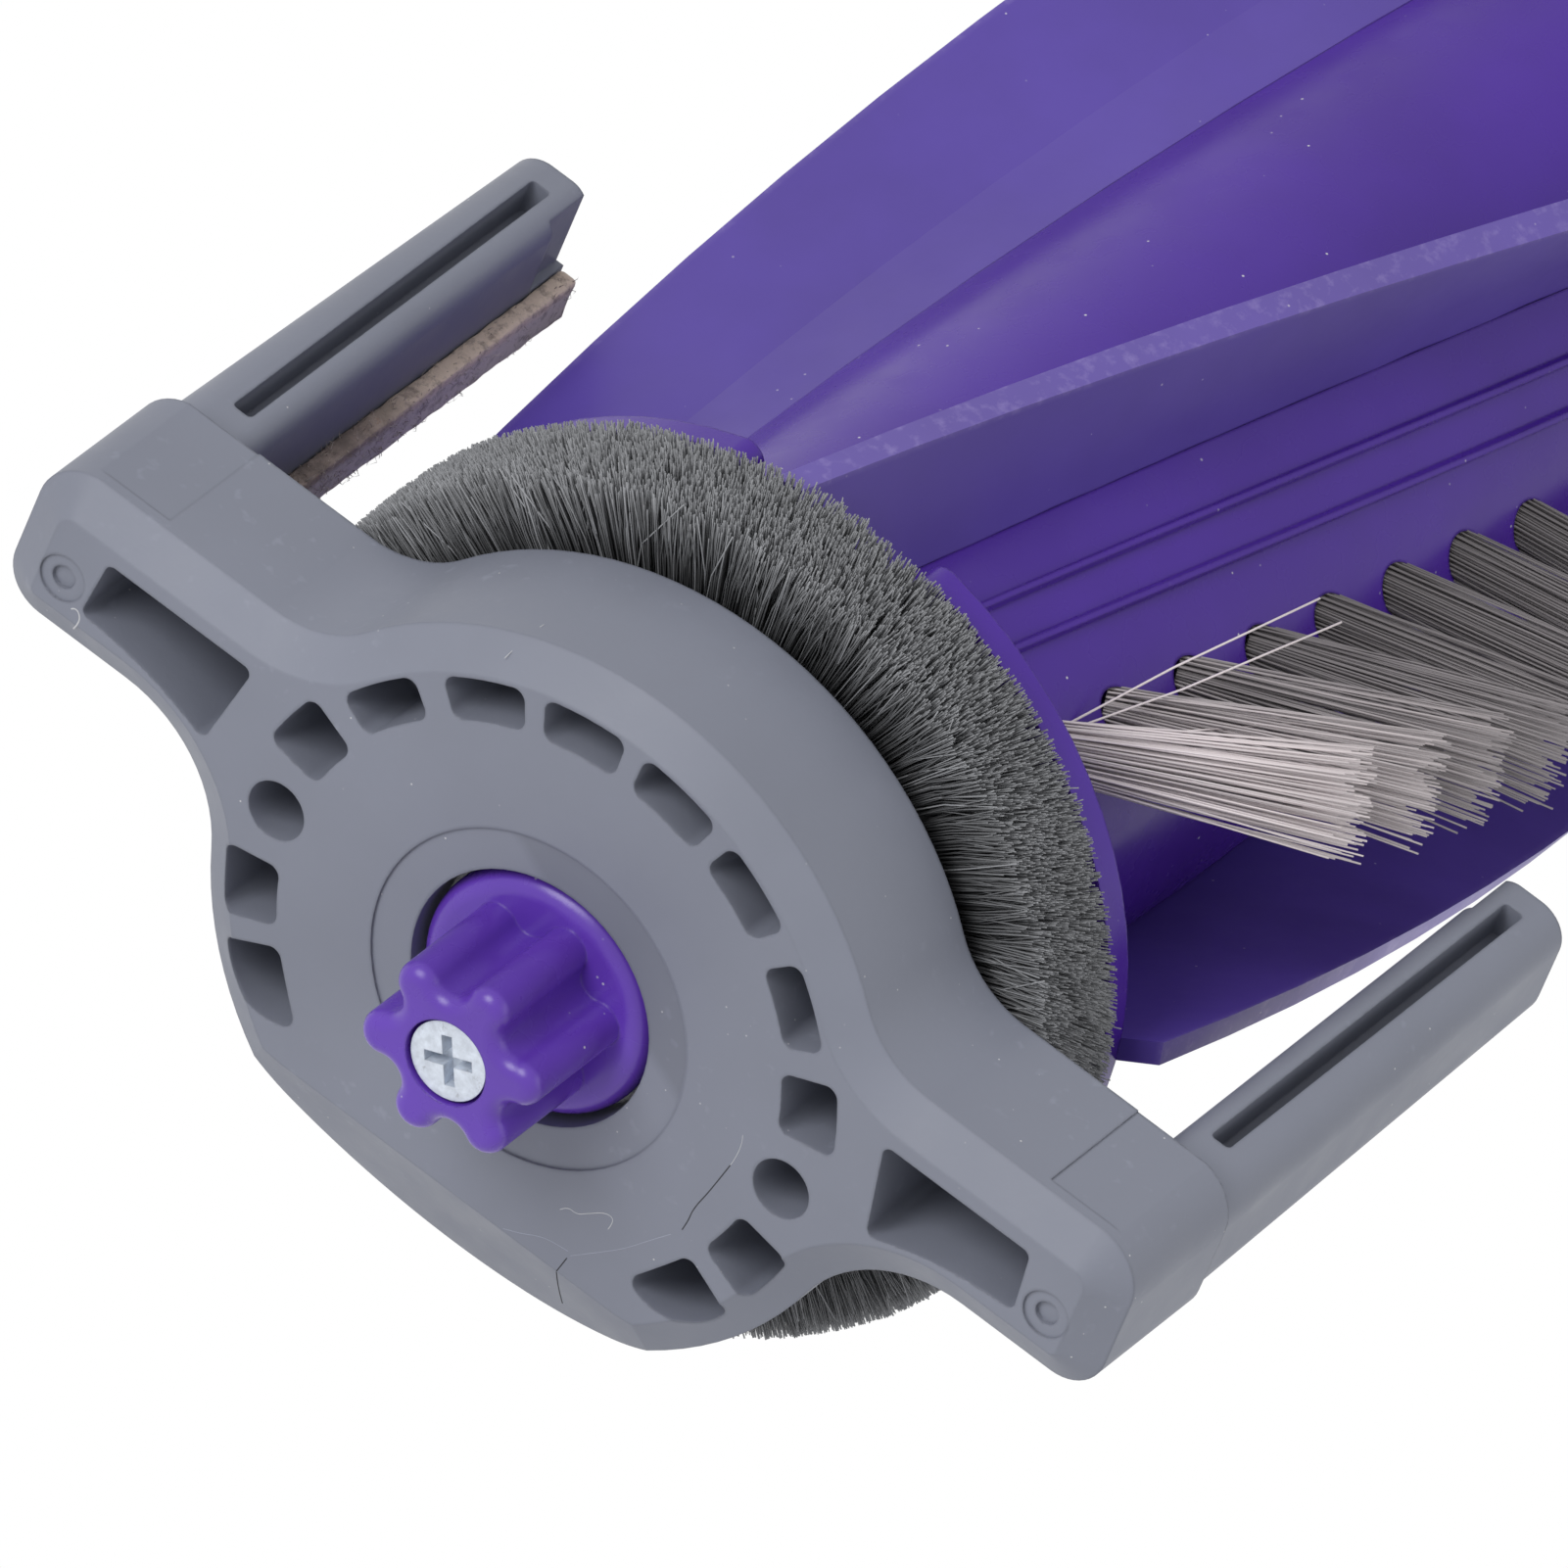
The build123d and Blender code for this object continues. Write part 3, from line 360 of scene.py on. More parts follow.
    def bump(self, value, depth, strength, edge):
        """Fine relief, over normals that turn softly at sharp edges where an edge radius is given."""
        node = self.nodes.new("ShaderNodeBump")
        node.inputs["Strength"].default_value = strength
        node.inputs["Distance"].default_value = depth
        self.link(value, node.inputs["Height"])
        if edge:
            soft = self.nodes.new("ShaderNodeBevel")
            soft.samples = EDGE_SAMPLES
            soft.inputs["Radius"].default_value = edge
            self.link(soft.outputs["Normal"], node.inputs["Normal"])
        self.link(node.outputs["Normal"], self.shader.inputs["Normal"])


def shade(colour, share):
    """A colour made darker or lighter by a share."""
    return tuple(min(1.0, c * share) for c in colour)


# Directions along the roller and upwards
ALONG_X = (1.0, 0.0, 0.0)
ALONG_Z = (0.0, 0.0, 1.0)

# Dust that lies on the plastics
DUST_WHITE = (0.62, 0.62, 0.62)
DUST_LILAC = (0.55, 0.52, 0.60)

# Grey plastic, with a painted dark reflection on one side of the polished ring round the shaft hole
GREY_CLOUDS = Pattern(scale=60, detail=4)
GREY_STREAKS = Pattern(scale=900, detail=2, start=0.62, end=0.74, most=0.35)
GREY_SCUFFED = Pattern(scale=45, detail=2, start=0.52, end=0.66)
GREY_DUSTY = Pattern(scale=90, start=0.45, end=0.60, most=0.8)
GREY_SCUFF_SHADE = 1.5
GREY_SURFACE = Surface(
    sheen_scale=240, smoothest=0.42, roughest=0.56, gloss=0.36,
    relief_scale=2600, relief_detail=2, depth=0.012 * MM, strength=0.6, edge=0.28 * MM)
RING_OUTER = 9.85 * MM
RING_SOFTNESS = 0.08 * MM
RING_DEPTH = 0.25 * MM
DARK_REFLECTION_DIRECTION = (0.0, -0.5, 0.866)
DARK_REFLECTION_START = 5.0 * MM
DARK_REFLECTION_END = 5.8 * MM
DARK_REFLECTION_SHARE = 0.95
DARK_REFLECTION_SHADE = 0.55


def grey_plastic():
    """Satin moulded grey with faint clouds, a painted dark reflection on one side of the ring round the
    shaft hole, scuffs, dust specks and a fine grain.
    """
    finish = Finish("grey_plastic")
    base = tuple(colours().grey_plastic)
    tint = finish.clouds(GREY_CLOUDS, base, dark=0.95, light=1.05)
    # Painted dark reflection: the front of the ring round the shaft hole is darkened on one side only
    ring = finish.span(finish.from_axis(), RING_OUTER, RING_OUTER - RING_SOFTNESS)
    front = finish.span(finish.towards(ALONG_X), RING_DEPTH, 0.0)
    reflection_side = finish.span(finish.towards(DARK_REFLECTION_DIRECTION), DARK_REFLECTION_START, DARK_REFLECTION_END, most=DARK_REFLECTION_SHARE)
    painted_reflection = finish.times(finish.times(ring, front), reflection_side)
    tint = finish.blend(painted_reflection, tint, shade(base, DARK_REFLECTION_SHADE))
    scuffs = finish.times(finish.pattern(GREY_STREAKS), finish.pattern(GREY_SCUFFED))
    tint = finish.blend(scuffs, tint, shade(base, GREY_SCUFF_SHADE))
    tint = finish.dusted(GREY_DUSTY, tint, DUST_WHITE, scale=760, radius=0.05)
    finish.colour(tint)
    finish.surface(GREY_SURFACE)
    return finish.material


# Purple plastics of the hub and the core
PURPLE_CLOUDS = Pattern(scale=75)
PURPLE_DUSTY = Pattern(scale=70, start=0.44, end=0.54, most=0.9)
HUB_SURFACE = Surface(
    sheen_scale=320, smoothest=0.22, roughest=0.32, gloss=0.42,
    relief_scale=900, relief_detail=2, depth=0.008 * MM, strength=0.5, edge=0.22 * MM)
CORE_SURFACE = HUB_SURFACE._replace(gloss=0.26)


def purple_plastic(name, base, surface):
    """Glossy moulded purple with a soft unevenness and a little dust."""
    finish = Finish(name)
    tint = finish.clouds(PURPLE_CLOUDS, base, dark=0.92, light=1.08)
    tint = finish.dusted(PURPLE_DUSTY, tint, DUST_WHITE, scale=620, radius=0.06)
    finish.colour(tint)
    finish.surface(surface)
    return finish.material


# Soft purple of the fins, with a pale strip along the outer edge that is partly worn chips and partly a
# painted highlight
FIN_CLOUDS = Pattern(scale=45, detail=5, roughness=0.6)
FIN_CHIPS_AND_HIGHLIGHT = Pattern(scale=1100, detail=4, roughness=0.65, start=0.52, end=0.72, least=0.12, most=0.40)
FIN_DUSTY = Pattern(scale=80, start=0.44, end=0.58, most=0.8)
FIN_SURFACE = Surface(
    sheen_scale=160, smoothest=0.34, roughest=0.46, sheen_detail=5, gloss=0.42,
    relief_scale=1500, depth=0.010 * MM, strength=0.6)
FIN_WEAR_AND_HIGHLIGHT_DEPTH = 0.40 * MM
FIN_WEAR_AND_HIGHLIGHT_COLOUR = (0.34, 0.28, 0.56)


def edge_radius(node):
    """Distance of a fin's outer edge from the roller axis."""
    return max(math.hypot(v.co.y, v.co.z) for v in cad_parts[node].data.vertices)


def soft_purple(name, node):
    """Soft purple of a fin, half matte, with dust and a pale outer edge that is partly wear and partly a
    painted highlight.
    """
    finish = Finish(name)
    base = tuple(colours().fin_purple)
    tint = finish.clouds(FIN_CLOUDS, base, dark=0.88, light=1.10)
    rim = edge_radius(node)
    outer = finish.span(finish.from_axis(), rim - FIN_WEAR_AND_HIGHLIGHT_DEPTH, rim)
    # Painted highlight along the whole outer edge, with worn chips on it
    tint = finish.blend(finish.times(outer, finish.pattern(FIN_CHIPS_AND_HIGHLIGHT)), tint, FIN_WEAR_AND_HIGHLIGHT_COLOUR)
    tint = finish.dusted(FIN_DUSTY, tint, DUST_LILAC, scale=560, radius=0.05)
    finish.colour(tint)
    finish.surface(FIN_SURFACE)
    return finish.material


# Metals of the bearings and screws
STEEL_CLOUDS = Pattern(scale=400, detail=4, start=0.3, end=0.7)
STEEL_SURFACE = Surface(
    sheen_scale=1800, smoothest=0.22, roughest=0.36, metal=0.3,
    relief_scale=4000, relief_detail=2, depth=0.004 * MM, strength=0.4)
ZINC_SPOTS = Pattern(scale=2200, detail=4, end=0.7)
ZINC_MARKS = Pattern(scale=1300, detail=5, roughness=0.7, start=0.60, end=0.70, most=0.6)
ZINC_MARK_GREY = (0.24, 0.25, 0.27)
ZINC_SURFACE = Surface(
    sheen_scale=1500, smoothest=0.30, roughest=0.46, metal=0.35,
    relief_scale=3200, depth=0.012 * MM, strength=0.8, edge=0.08 * MM)


def bearing_steel():
    """Bright ground steel."""
    finish = Finish("bearing_steel")
    finish.colour(finish.clouds(STEEL_CLOUDS, tuple(colours().steel), dark=0.88, light=1.0))
    finish.surface(STEEL_SURFACE)
    return finish.material


def zinc_plate():
    """Pale bluish zinc with fine spots and darker marks."""
    finish = Finish("zinc_plate")
    tint = finish.clouds(ZINC_SPOTS, tuple(colours().zinc), dark=0.85, light=1.1)
    finish.colour(finish.blend(finish.pattern(ZINC_MARKS), tint, ZINC_MARK_GREY))
    finish.surface(ZINC_SURFACE)
    return finish.material


# Fibres of the pile and filaments of the bristles, some of them pale
PILE_SURFACE = Surface(sheen_scale=500, smoothest=0.46, roughest=0.60, gloss=0.35)
BRISTLE_SURFACE = Surface(sheen_scale=700, smoothest=0.36, roughest=0.48, gloss=0.42)
FILAMENT_PALE = (0.84, 0.76, 0.77)


def pile_fibre():
    """Grey fibres with painted shade towards the root and a painted highlight at the very tip, each a
    little different.
    """
    finish = Finish("pile_fibre")
    tip = tuple(colours().pile_grey)
    # Painted shade: each fibre darkens from its tip to its root
    tint = finish.tinted("along", shade(tip, 0.20), tip, start=0.20, end=0.95)
    tint = finish.tinted("tone", tint, shade(tip, 0.42), start=0.5, end=0.0, most=0.6)
    tint = finish.tinted("tone", tint, shade(tip, 1.9), start=0.72, end=1.0, most=0.7)
    # Painted highlight on the very tip of each fibre
    tint = finish.tinted("along", tint, shade(tip, 1.7), start=0.93, end=1.0, most=0.55)
    finish.colour(tint)
    finish.surface(PILE_SURFACE)
    return finish.material


def bristle_filament():
    """Warm grey filaments with painted shade towards the root, some of them pale."""
    finish = Finish("bristle_filament")
    base = tuple(colours().bristle_grey)
    # Painted shade: each filament darkens from its tip to its root
    tint = finish.tinted("along", shade(base, 0.42), base, start=0.0, end=0.85)
    tint = finish.tinted("tone", tint, shade(base, 0.4), start=0.3, end=0.0, most=0.55)
    tint = finish.tinted("tone", tint, FILAMENT_PALE, start=0.45, end=1.0, most=0.9)
    finish.colour(tint)
    finish.surface(BRISTLE_SURFACE)
    return finish.material


# Dirt on the felt, and its loose hairs
FELT_PATCHES = Pattern(scale=420, detail=5, roughness=0.65, start=0.38, end=0.62)
FELT_RUST_SPOTS = Pattern(scale=650, start=0.60, end=0.70, most=0.8)
FELT_DIRT_SPOTS = Pattern(scale=1300, detail=5, roughness=0.7, start=0.50, end=0.66, most=0.7)
FELT_SURFACE = Surface(
    sheen_scale=900, smoothest=0.85, roughest=0.95,
    relief_scale=2300, relief_detail=5, relief_roughness=0.7, depth=0.12 * MM)
FELT_TAN = (0.66, 0.54, 0.45)
FELT_GREY = (0.56, 0.52, 0.50)
FELT_DIRT = (0.17, 0.14, 0.13)
FELT_RUST = (0.50, 0.22, 0.11)
FELT_FADE = 3.0 * MM
FELT_TAN_SHARE = 0.9
FELT_GREY_TOP = 0.3 * MM
FELT_GREY_LOW = 0.9 * MM
FELT_GREY_SHARE = 0.75
LINT_BROWN = (0.20, 0.16, 0.14)
LINT_PALE = (0.56, 0.50, 0.46)
LINT_SURFACE = Surface(sheen_scale=900, smoothest=0.6, roughest=0.8)


def dirty_felt():
    """Felt that is tan at the free end, grey below and brown with rusty dirt beside the wing."""
    finish = Finish("dirty_felt")
    low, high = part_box("felt_left")
    tint = finish.clouds(FELT_PATCHES, tuple(colours().felt_brown), dark=0.6, light=1.3)
    tint = finish.blend(finish.pattern(FELT_RUST_SPOTS), tint, FELT_RUST)
    middle = (low.x + high.x) / 2
    clean = finish.span(
        finish.towards(ALONG_X), middle - FELT_FADE, middle + FELT_FADE, most=FELT_TAN_SHARE)
    tint = finish.blend(clean, tint, FELT_TAN)
    below = finish.span(
        finish.towards(ALONG_Z), high.z - FELT_GREY_TOP, high.z - FELT_GREY_LOW, most=FELT_GREY_SHARE)
    tint = finish.blend(below, tint, FELT_GREY)
    tint = finish.blend(finish.pattern(FELT_DIRT_SPOTS), tint, FELT_DIRT)
    finish.colour(tint)
    finish.surface(FELT_SURFACE)
    return finish.material


def lint_hair():
    """Loose pale and brown hairs."""
    finish = Finish("lint_hair")
    finish.colour(finish.blend(finish.attribute("tone"), LINT_BROWN, LINT_PALE))
    finish.surface(LINT_SURFACE)
    return finish.material


# Fine lines on the end frame
CRACK_SCALE = 1200
CRACK_BLACK = (0.012, 0.012, 0.014)
CRACK_GREY = (0.045, 0.047, 0.055)
CRACK_SURFACE = Surface(sheen_scale=900, smoothest=0.8, roughest=0.95)
SCUFF_SCALE = 1500
SCUFF_GREY = (0.34, 0.35, 0.38)
SCUFF_WHITE = (0.60, 0.60, 0.60)
SCUFF_SURFACE = Surface(sheen_scale=900, smoothest=0.5, roughest=0.7)
WELD_SCALE = 1500
WELD_DARK = 1.25
WELD_LIGHT = 1.8
WELD_SURFACE = Surface(sheen_scale=900, smoothest=0.42, roughest=0.56)


def mottled(name, scale, first, second, surface):
    """A finish that wanders between two colours."""
    finish = Finish(name)
    finish.colour(finish.blend(finish.grain(scale), first, second))
    finish.surface(surface)
    return finish.material


def crack_shadow():
    """Dark inside of a crack."""
    return mottled("crack_shadow", CRACK_SCALE, CRACK_BLACK, CRACK_GREY, CRACK_SURFACE)


def pale_scuff():
    """Stress-whitened plastic along a crack and loose white shavings."""
    return mottled("pale_scuff", SCUFF_SCALE, SCUFF_GREY, SCUFF_WHITE, SCUFF_SURFACE)


def weld_line():
    """Faint raised line where two flows of plastic met in the mould."""
    base = tuple(colours().grey_plastic)
    return mottled("weld_line", WELD_SCALE, shade(base, WELD_DARK), shade(base, WELD_LIGHT), WELD_SURFACE)


def paint(nodes, material):
    """Gives CAD nodes their finish."""
    for name in nodes:
        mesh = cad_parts[name].data
        mesh.materials.clear()
        mesh.materials.append(material)


# Filaments
FILAMENT_CUTS = 1
CAP_HEIGHT = 1e-6
LEAST_LENGTH = 1e-12
# Share of X in a filament's direction from which Y is taken to find its side
MOSTLY_X = 0.8


def filament_template(sides, tip_share):
    """Tapered peg of unit height and radius, read as cross offsets, heights and triangles."""
    deselect()
    bpy.ops.mesh.primitive_cone_add(
        vertices=sides, radius1=1.0, radius2=tip_share, depth=1.0, end_fill_type="NGON")
    peg = bpy.context.object
    bpy.ops.object.mode_set(mode="EDIT")
    for cut in range(1, FILAMENT_CUTS + 1):
        bpy.ops.mesh.select_all(action="SELECT")
        height = cut / (FILAMENT_CUTS + 1) - 0.5
        bpy.ops.mesh.bisect(plane_co=(0, 0, height), plane_no=(0, 0, 1))
    bpy.ops.object.mode_set(mode="OBJECT")
    mesh = peg.data
    mesh.calc_loop_triangles()
    points = np.array([v.co for v in mesh.vertices], float)
    heights = points[:, 2] + 0.5
    triangles = np.array([t.vertices for t in mesh.loop_triangles], int)
    # The cap at the root is sunk in what carries the filament, so it is left out
    triangles = triangles[heights[triangles].max(axis=1) > CAP_HEIGHT]
    bpy.data.objects.remove(peg)
    bpy.data.meshes.remove(mesh)
    return points[:, :2], heights, triangles


def unit(vectors):
    """Vectors of length one."""
    return vectors / np.maximum(np.linalg.norm(vectors, axis=1, keepdims=True), LEAST_LENGTH)


def grow(name, template, roots, bends, tips, radii, tones):
    """One piece of many filaments, each bent from its root past its bend to its tip."""
    offsets, heights, triangles = template
    count = len(roots)
    size = len(heights)
    along = unit(tips - roots)
    helper = np.where(np.abs(along[:, :1]) < MOSTLY_X, [[1.0, 0, 0]], [[0, 1.0, 0]])
    side = unit(np.cross(along, helper))
    other = np.cross(along, side)
    h = heights[None, :, None]
    line = (1 - h) ** 2 * roots[:, None] + 2 * h * (1 - h) * bends[:, None] + h ** 2 * tips[:, None]
    across = offsets[None, :, :1] * side[:, None] + offsets[None, :, 1:] * other[:, None]
    points = line + across * radii[:, None, None]
    corners = (triangles[None] + (np.arange(count) * size)[:, None, None]).reshape(-1)
    faces = len(corners) // 3
    mesh = bpy.data.meshes.new(name)
    mesh.vertices.add(count * size)
    mesh.vertices.foreach_set("co", points.astype(np.float32).ravel())
    mesh.loops.add(len(corners))
    mesh.loops.foreach_set("vertex_index", corners.astype(np.int32))
    mesh.polygons.add(faces)
    mesh.polygons.foreach_set("loop_start", np.arange(0, len(corners), 3, dtype=np.int32))
    mesh.polygons.foreach_set("use_smooth", np.ones(faces, bool))
    mesh.update(calc_edges=True)
    for label, values in (("along", np.tile(heights, count)), ("tone", np.repeat(tones, size))):
        layer = mesh.attributes.new(label, "FLOAT", "POINT")
        layer.data.foreach_set("value", values.astype(np.float32))
    piece = bpy.data.objects.new(name, mesh)
    bpy.context.scene.collection.objects.link(piece)
    return piece


def ring_points(x, radius, angle):
    """Points round the roller axis."""
    return np.stack([x, radius * np.cos(angle), radius * np.sin(angle)], axis=1)


# Pile rings
DRIVE_PILE_SECTORS = 3
IDLE_PILE_SECTORS = 1
PILE_SIDES = 3
PILE_RADIUS_RANGE = (0.75, 1.2)
PILE_ROOT_INSET = 0.9 * MM
PILE_SWIRL = 0.05
PILE_SWIRL_SCALE = 160.0
PILE_CLUMP = 0.022
PILE_CLUMP_SCALE = 620.0
PILE_LEAN = 0.5 * MM
PILE_JITTER = 0.016
PILE_STRAY_SHARE = 0.03
PILE_STRAY_JITTER = 0.05
PILE_STRAY_DROP = 0.5
PILE_DROP_POWER = 2
PILE_EDGE_POWER = 4
PILE_EDGE_DROP = 0.35 * MM
PILE_OVERREACH = 0.1 * MM
PILE_TIP_SHARE = 0.75
PILE_START_SHARE = 0.25
PILE_BED_SHARE = 0.55
PILE_BED_SEGMENTS = 96
PILE_BED_SIDES = 16
TONE_MIDDLE = 0.5
TONE_CLUMP = 0.45
TONE_SPREAD = 0.24


def pile_bed(name, low, high, inner, outer):
    """Bed between the fibres' roots, a torus pressed into the ring's width, dark with the painted shade of
    the roots.
    """
    deselect()
    bed_outer = inner + (outer - inner) * PILE_BED_SHARE
    tube = (bed_outer - inner) / 2
    bpy.ops.mesh.primitive_torus_add(
        major_segments=PILE_BED_SEGMENTS, minor_segments=PILE_BED_SIDES,
        major_radius=inner + tube, minor_radius=tube)
    bed = bpy.context.object
    bed.name = name
    bpy.ops.object.mode_set(mode="EDIT")
    bpy.ops.mesh.select_all(action="SELECT")
    bpy.ops.transform.rotate(value=HALF_PI, orient_axis="Y", center_override=(0, 0, 0))
    width = (high - low) / 2 - PILE_ROOT_INSET
    bpy.ops.transform.resize(value=(width / tube, 1, 1), center_override=(0, 0, 0))
    bpy.ops.transform.translate(value=((low + high) / 2, 0, 0))
    bpy.ops.object.mode_set(mode="OBJECT")
    bpy.ops.object.shade_smooth()
    # Nought in both values gives the bed the painted shade of the roots
    for label in ("along", "tone"):
        bed.data.attributes.new(label, "FLOAT", "POINT")
    return bed


def pile_fibres(name, node, start, count, sector, seed, material):
    """Fibres of one sector of a pile ring, wider apart at their tips and combed into clumps."""
    rng = np.random.default_rng(seed)
    low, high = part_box(node)
    outer = high.z + PILE_OVERREACH
    share = rng.random(count)
    angle = (sector[0] + rng.random(count) * (sector[1] - sector[0])) * FULL_TURN
    root_x = low.x + PILE_ROOT_INSET + share * (high.x - low.x - 2 * PILE_ROOT_INSET)
    tip_x = low.x + share * (high.x - low.x)
    edge = np.abs(2 * share - 1) ** PILE_EDGE_POWER
    drop = rng.random(count) ** PILE_DROP_POWER * sizes().pile_raggedness
    reach = outer - drop - edge * PILE_EDGE_DROP
    swirl = np.zeros(count)
    clump = np.zeros(count)
    for index in range(count):
        spot = Vector((tip_x[index], outer * math.cos(angle[index]), outer * math.sin(angle[index])))
        swirl[index] = noise.noise(spot * PILE_SWIRL_SCALE)
        clump[index] = noise.noise(spot * PILE_CLUMP_SCALE)
    stray = rng.random(count) < PILE_STRAY_SHARE
    jitter = np.where(stray, PILE_STRAY_JITTER, PILE_JITTER)
    turned = angle + swirl * PILE_SWIRL + clump * PILE_CLUMP + rng.normal(0, 1, count) * jitter
    stray_drop = rng.random(count) * sizes().pile_raggedness * PILE_STRAY_DROP
    reach = np.where(stray, outer - stray_drop, reach)
    tip_x = np.clip(tip_x + swirl * PILE_LEAN, low.x, high.x)
    roots = ring_points(root_x, np.full(count, start), angle)
    bends = ring_points((root_x + tip_x) / 2, (start + reach) / 2, angle)
    tips = ring_points(tip_x, reach, turned)
    radii = sizes().pile_fibre_radius * rng.uniform(*PILE_RADIUS_RANGE, count)
    tones = np.clip(TONE_MIDDLE + clump * TONE_CLUMP + rng.normal(0, TONE_SPREAD, count), 0.0, 1.0)
    tones = np.where(stray, 1.0, tones)
    fibres = grow(name, filament_template(PILE_SIDES, PILE_TIP_SHARE), roots, bends, tips, radii, tones)
    fibres.data.materials.append(material)
    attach(fibres, ROLLER_BODY)
    return fibres


def pile_ring(name, node, backing, count, sectors, seed, material):
    """Dense pile that stands out from a neck, on its bed in the painted shade of the roots."""
    low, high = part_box(node)
    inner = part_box(backing)[1].z
    outer = high.z
    start = inner + (outer - inner) * PILE_START_SHARE
    bed = pile_bed(name + "_bed", low.x, high.x, inner, outer)
    bed.data.materials.append(material)
    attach(bed, ROLLER_BODY)
    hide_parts(backing)
    for index in range(sectors):
        sector = (index / sectors, (index + 1) / sectors)
        label = name + "_fibres_" + str(index + 1)
        fibres = pile_fibres(label, node, start, count // sectors, sector, seed + index, material)
        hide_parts(node)


# Bristle tufts
TUFT_SIDES = 4
TUFT_TIP_SHARE = 0.85
TUFT_RADIUS_RANGE = (0.85, 1.1)
TUFT_FAN_RANGE = (0.8, 1.15)
TUFT_END_SHARE = 0.12
TUFT_SPREAD = 1.1
TUFT_END_SPREAD = 2.0
TUFT_TONE = (0.0, 0.34)
TUFT_END_TONE = (0.75, 1.0)
TUFT_PALE_COUNT = 4
TUFT_LENGTH_SPREAD = 0.10
TUFT_BOW = 0.25 * MM
TUFT_BOW_SHARE = 0.6
# Thick dark peg in the middle of each tuft, painted shade between its filaments
TUFT_SHADE_CORE_RADIUS = 0.8 * MM
TUFT_SHADE_CORE_SHARE = 0.8
TUFT_ROOT_RADIUS = 1.45 * MM
TUFT_TIP_RADIUS = 1.6 * MM
MERGE_DISTANCE = 0.001 * MM
# Share of the CAD pegs' length that each row's filaments have
TUFT_KEPT = {"a": 1.0, "b": 0.84}
# Ends of stray filaments, in millimetres from the root of a row's first tuft
STRAY_FILAMENTS = {
    "a": ((16.9, -5.6, 5.4), (17.3, -7.1, 4.6), (12.0, -8.9, 1.7)),
    "b": ((9.0, 3.2, -2.4), (6.5, 3.6, -1.4)),
}


def tuft_lines(node):
    """Root and tip centre of each peg of a CAD bristle row."""
    deselect()
    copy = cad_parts[node].copy()
    copy.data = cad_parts[node].data.copy()
    bpy.context.scene.collection.objects.link(copy)
    copy.select_set(True)
    bpy.context.view_layer.objects.active = copy
    bpy.ops.object.mode_set(mode="EDIT")
    bpy.ops.mesh.select_all(action="SELECT")
    bpy.ops.mesh.remove_doubles(threshold=MERGE_DISTANCE)
    bpy.ops.mesh.separate(type="LOOSE")
    bpy.ops.object.mode_set(mode="OBJECT")
    lines = []
    for peg in list(bpy.context.selected_objects):
        points = np.array([v.co for v in peg.data.vertices], float)
        depth = np.hypot(points[:, 1], points[:, 2])
        margin = (depth.max() - depth.min()) * TUFT_END_SHARE
        root = points[depth < depth.min() + margin].mean(0)
        tip = points[depth > depth.max() - margin].mean(0)
        lines.append((root, tip))
        mesh = peg.data
        bpy.data.objects.remove(peg)
        bpy.data.meshes.remove(mesh)
    lines.sort(key=lambda line: line[0][0])
    return lines


def bristle_row(name, node, seed, spread, tone, kept, strays, material):
    """Tufts of fine filaments in place of the plain pegs of a row."""
    rng = np.random.default_rng(seed)
    count = sizes().tuft_filaments
    roots, bends, tips, radii, tones = [], [], [], [], []
    index = np.arange(count)
    radius = np.sqrt((index + 0.5) / count)
    turn = index * GOLDEN_TURN
    lines = tuft_lines(node)
    for order, (root, tip) in enumerate(lines):
        axis = tip - root
        length = np.linalg.norm(axis)
        axis = axis / length
        length = length * kept
        side = np.cross(axis, [1.0, 0.0, 0.0])
        side = side / np.linalg.norm(side)
        other = np.cross(axis, side)
        spin = turn + rng.random() * FULL_TURN
        disc = np.cos(spin)[:, None] * side + np.sin(spin)[:, None] * other
        start = root + disc * (radius * TUFT_ROOT_RADIUS)[:, None]
        reach = length * (1 - rng.random(count) * TUFT_LENGTH_SPREAD)
        fan = radius * TUFT_TIP_RADIUS * spread * rng.uniform(*TUFT_FAN_RANGE, count)
        end = root + axis * reach[:, None] + disc * fan[:, None]
        bend = (start + end) / 2 + rng.normal(0, TUFT_BOW, (count, 3)) * TUFT_BOW_SHARE
        roots.append(start)
        bends.append(bend)
        tips.append(end)
        radii.append(sizes().filament_radius * rng.uniform(*TUFT_RADIUS_RANGE, count))
        pale = max(0.0, 1.0 - order / TUFT_PALE_COUNT)
        tones.append(rng.uniform(*TUFT_TONE, count) * (1 - pale) + rng.uniform(*tone, count) * pale)
        # A thick peg of the darkest tone in the tuft's middle: painted shade between the filaments
        shade_core = root + axis * length * TUFT_SHADE_CORE_SHARE
        roots.append(root[None])
        bends.append((root + shade_core)[None] / 2)
        tips.append(shade_core[None])
        radii.append(np.array([TUFT_SHADE_CORE_RADIUS]))
        tones.append(np.array([0.0]))
    first = lines[0][0]
    for stray in strays:
        tip = first + np.array(stray) * MM
        roots.append(first[None])
        bends.append((first + tip)[None] / 2 + rng.normal(0, TUFT_BOW, (1, 3)))
        tips.append(tip[None])
        radii.append(np.array([sizes().filament_radius]))
        tones.append(np.array([1.0]))
    template = filament_template(TUFT_SIDES, TUFT_TIP_SHARE)
    row = grow(name, template, *[np.concatenate(part) for part in (roots, bends, tips, radii, tones)])
    row.data.materials.append(material)
    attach(row, ROLLER_BODY)
    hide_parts(node)


# Felt strips
FELT_LENGTH_CUTS = 26
FELT_FINE_CUTS = 2
FELT_SWELL = 0.09 * MM
FELT_SWELL_SCALE = 900.0
FELT_BEVEL = 0.25 * MM
FELT_BEVEL_SEGMENTS = 2
FELT_OVERHANG = 1.0 * MM
# Digits to which places in metres are rounded when corners are put in order
ORDER_DIGITS = 8

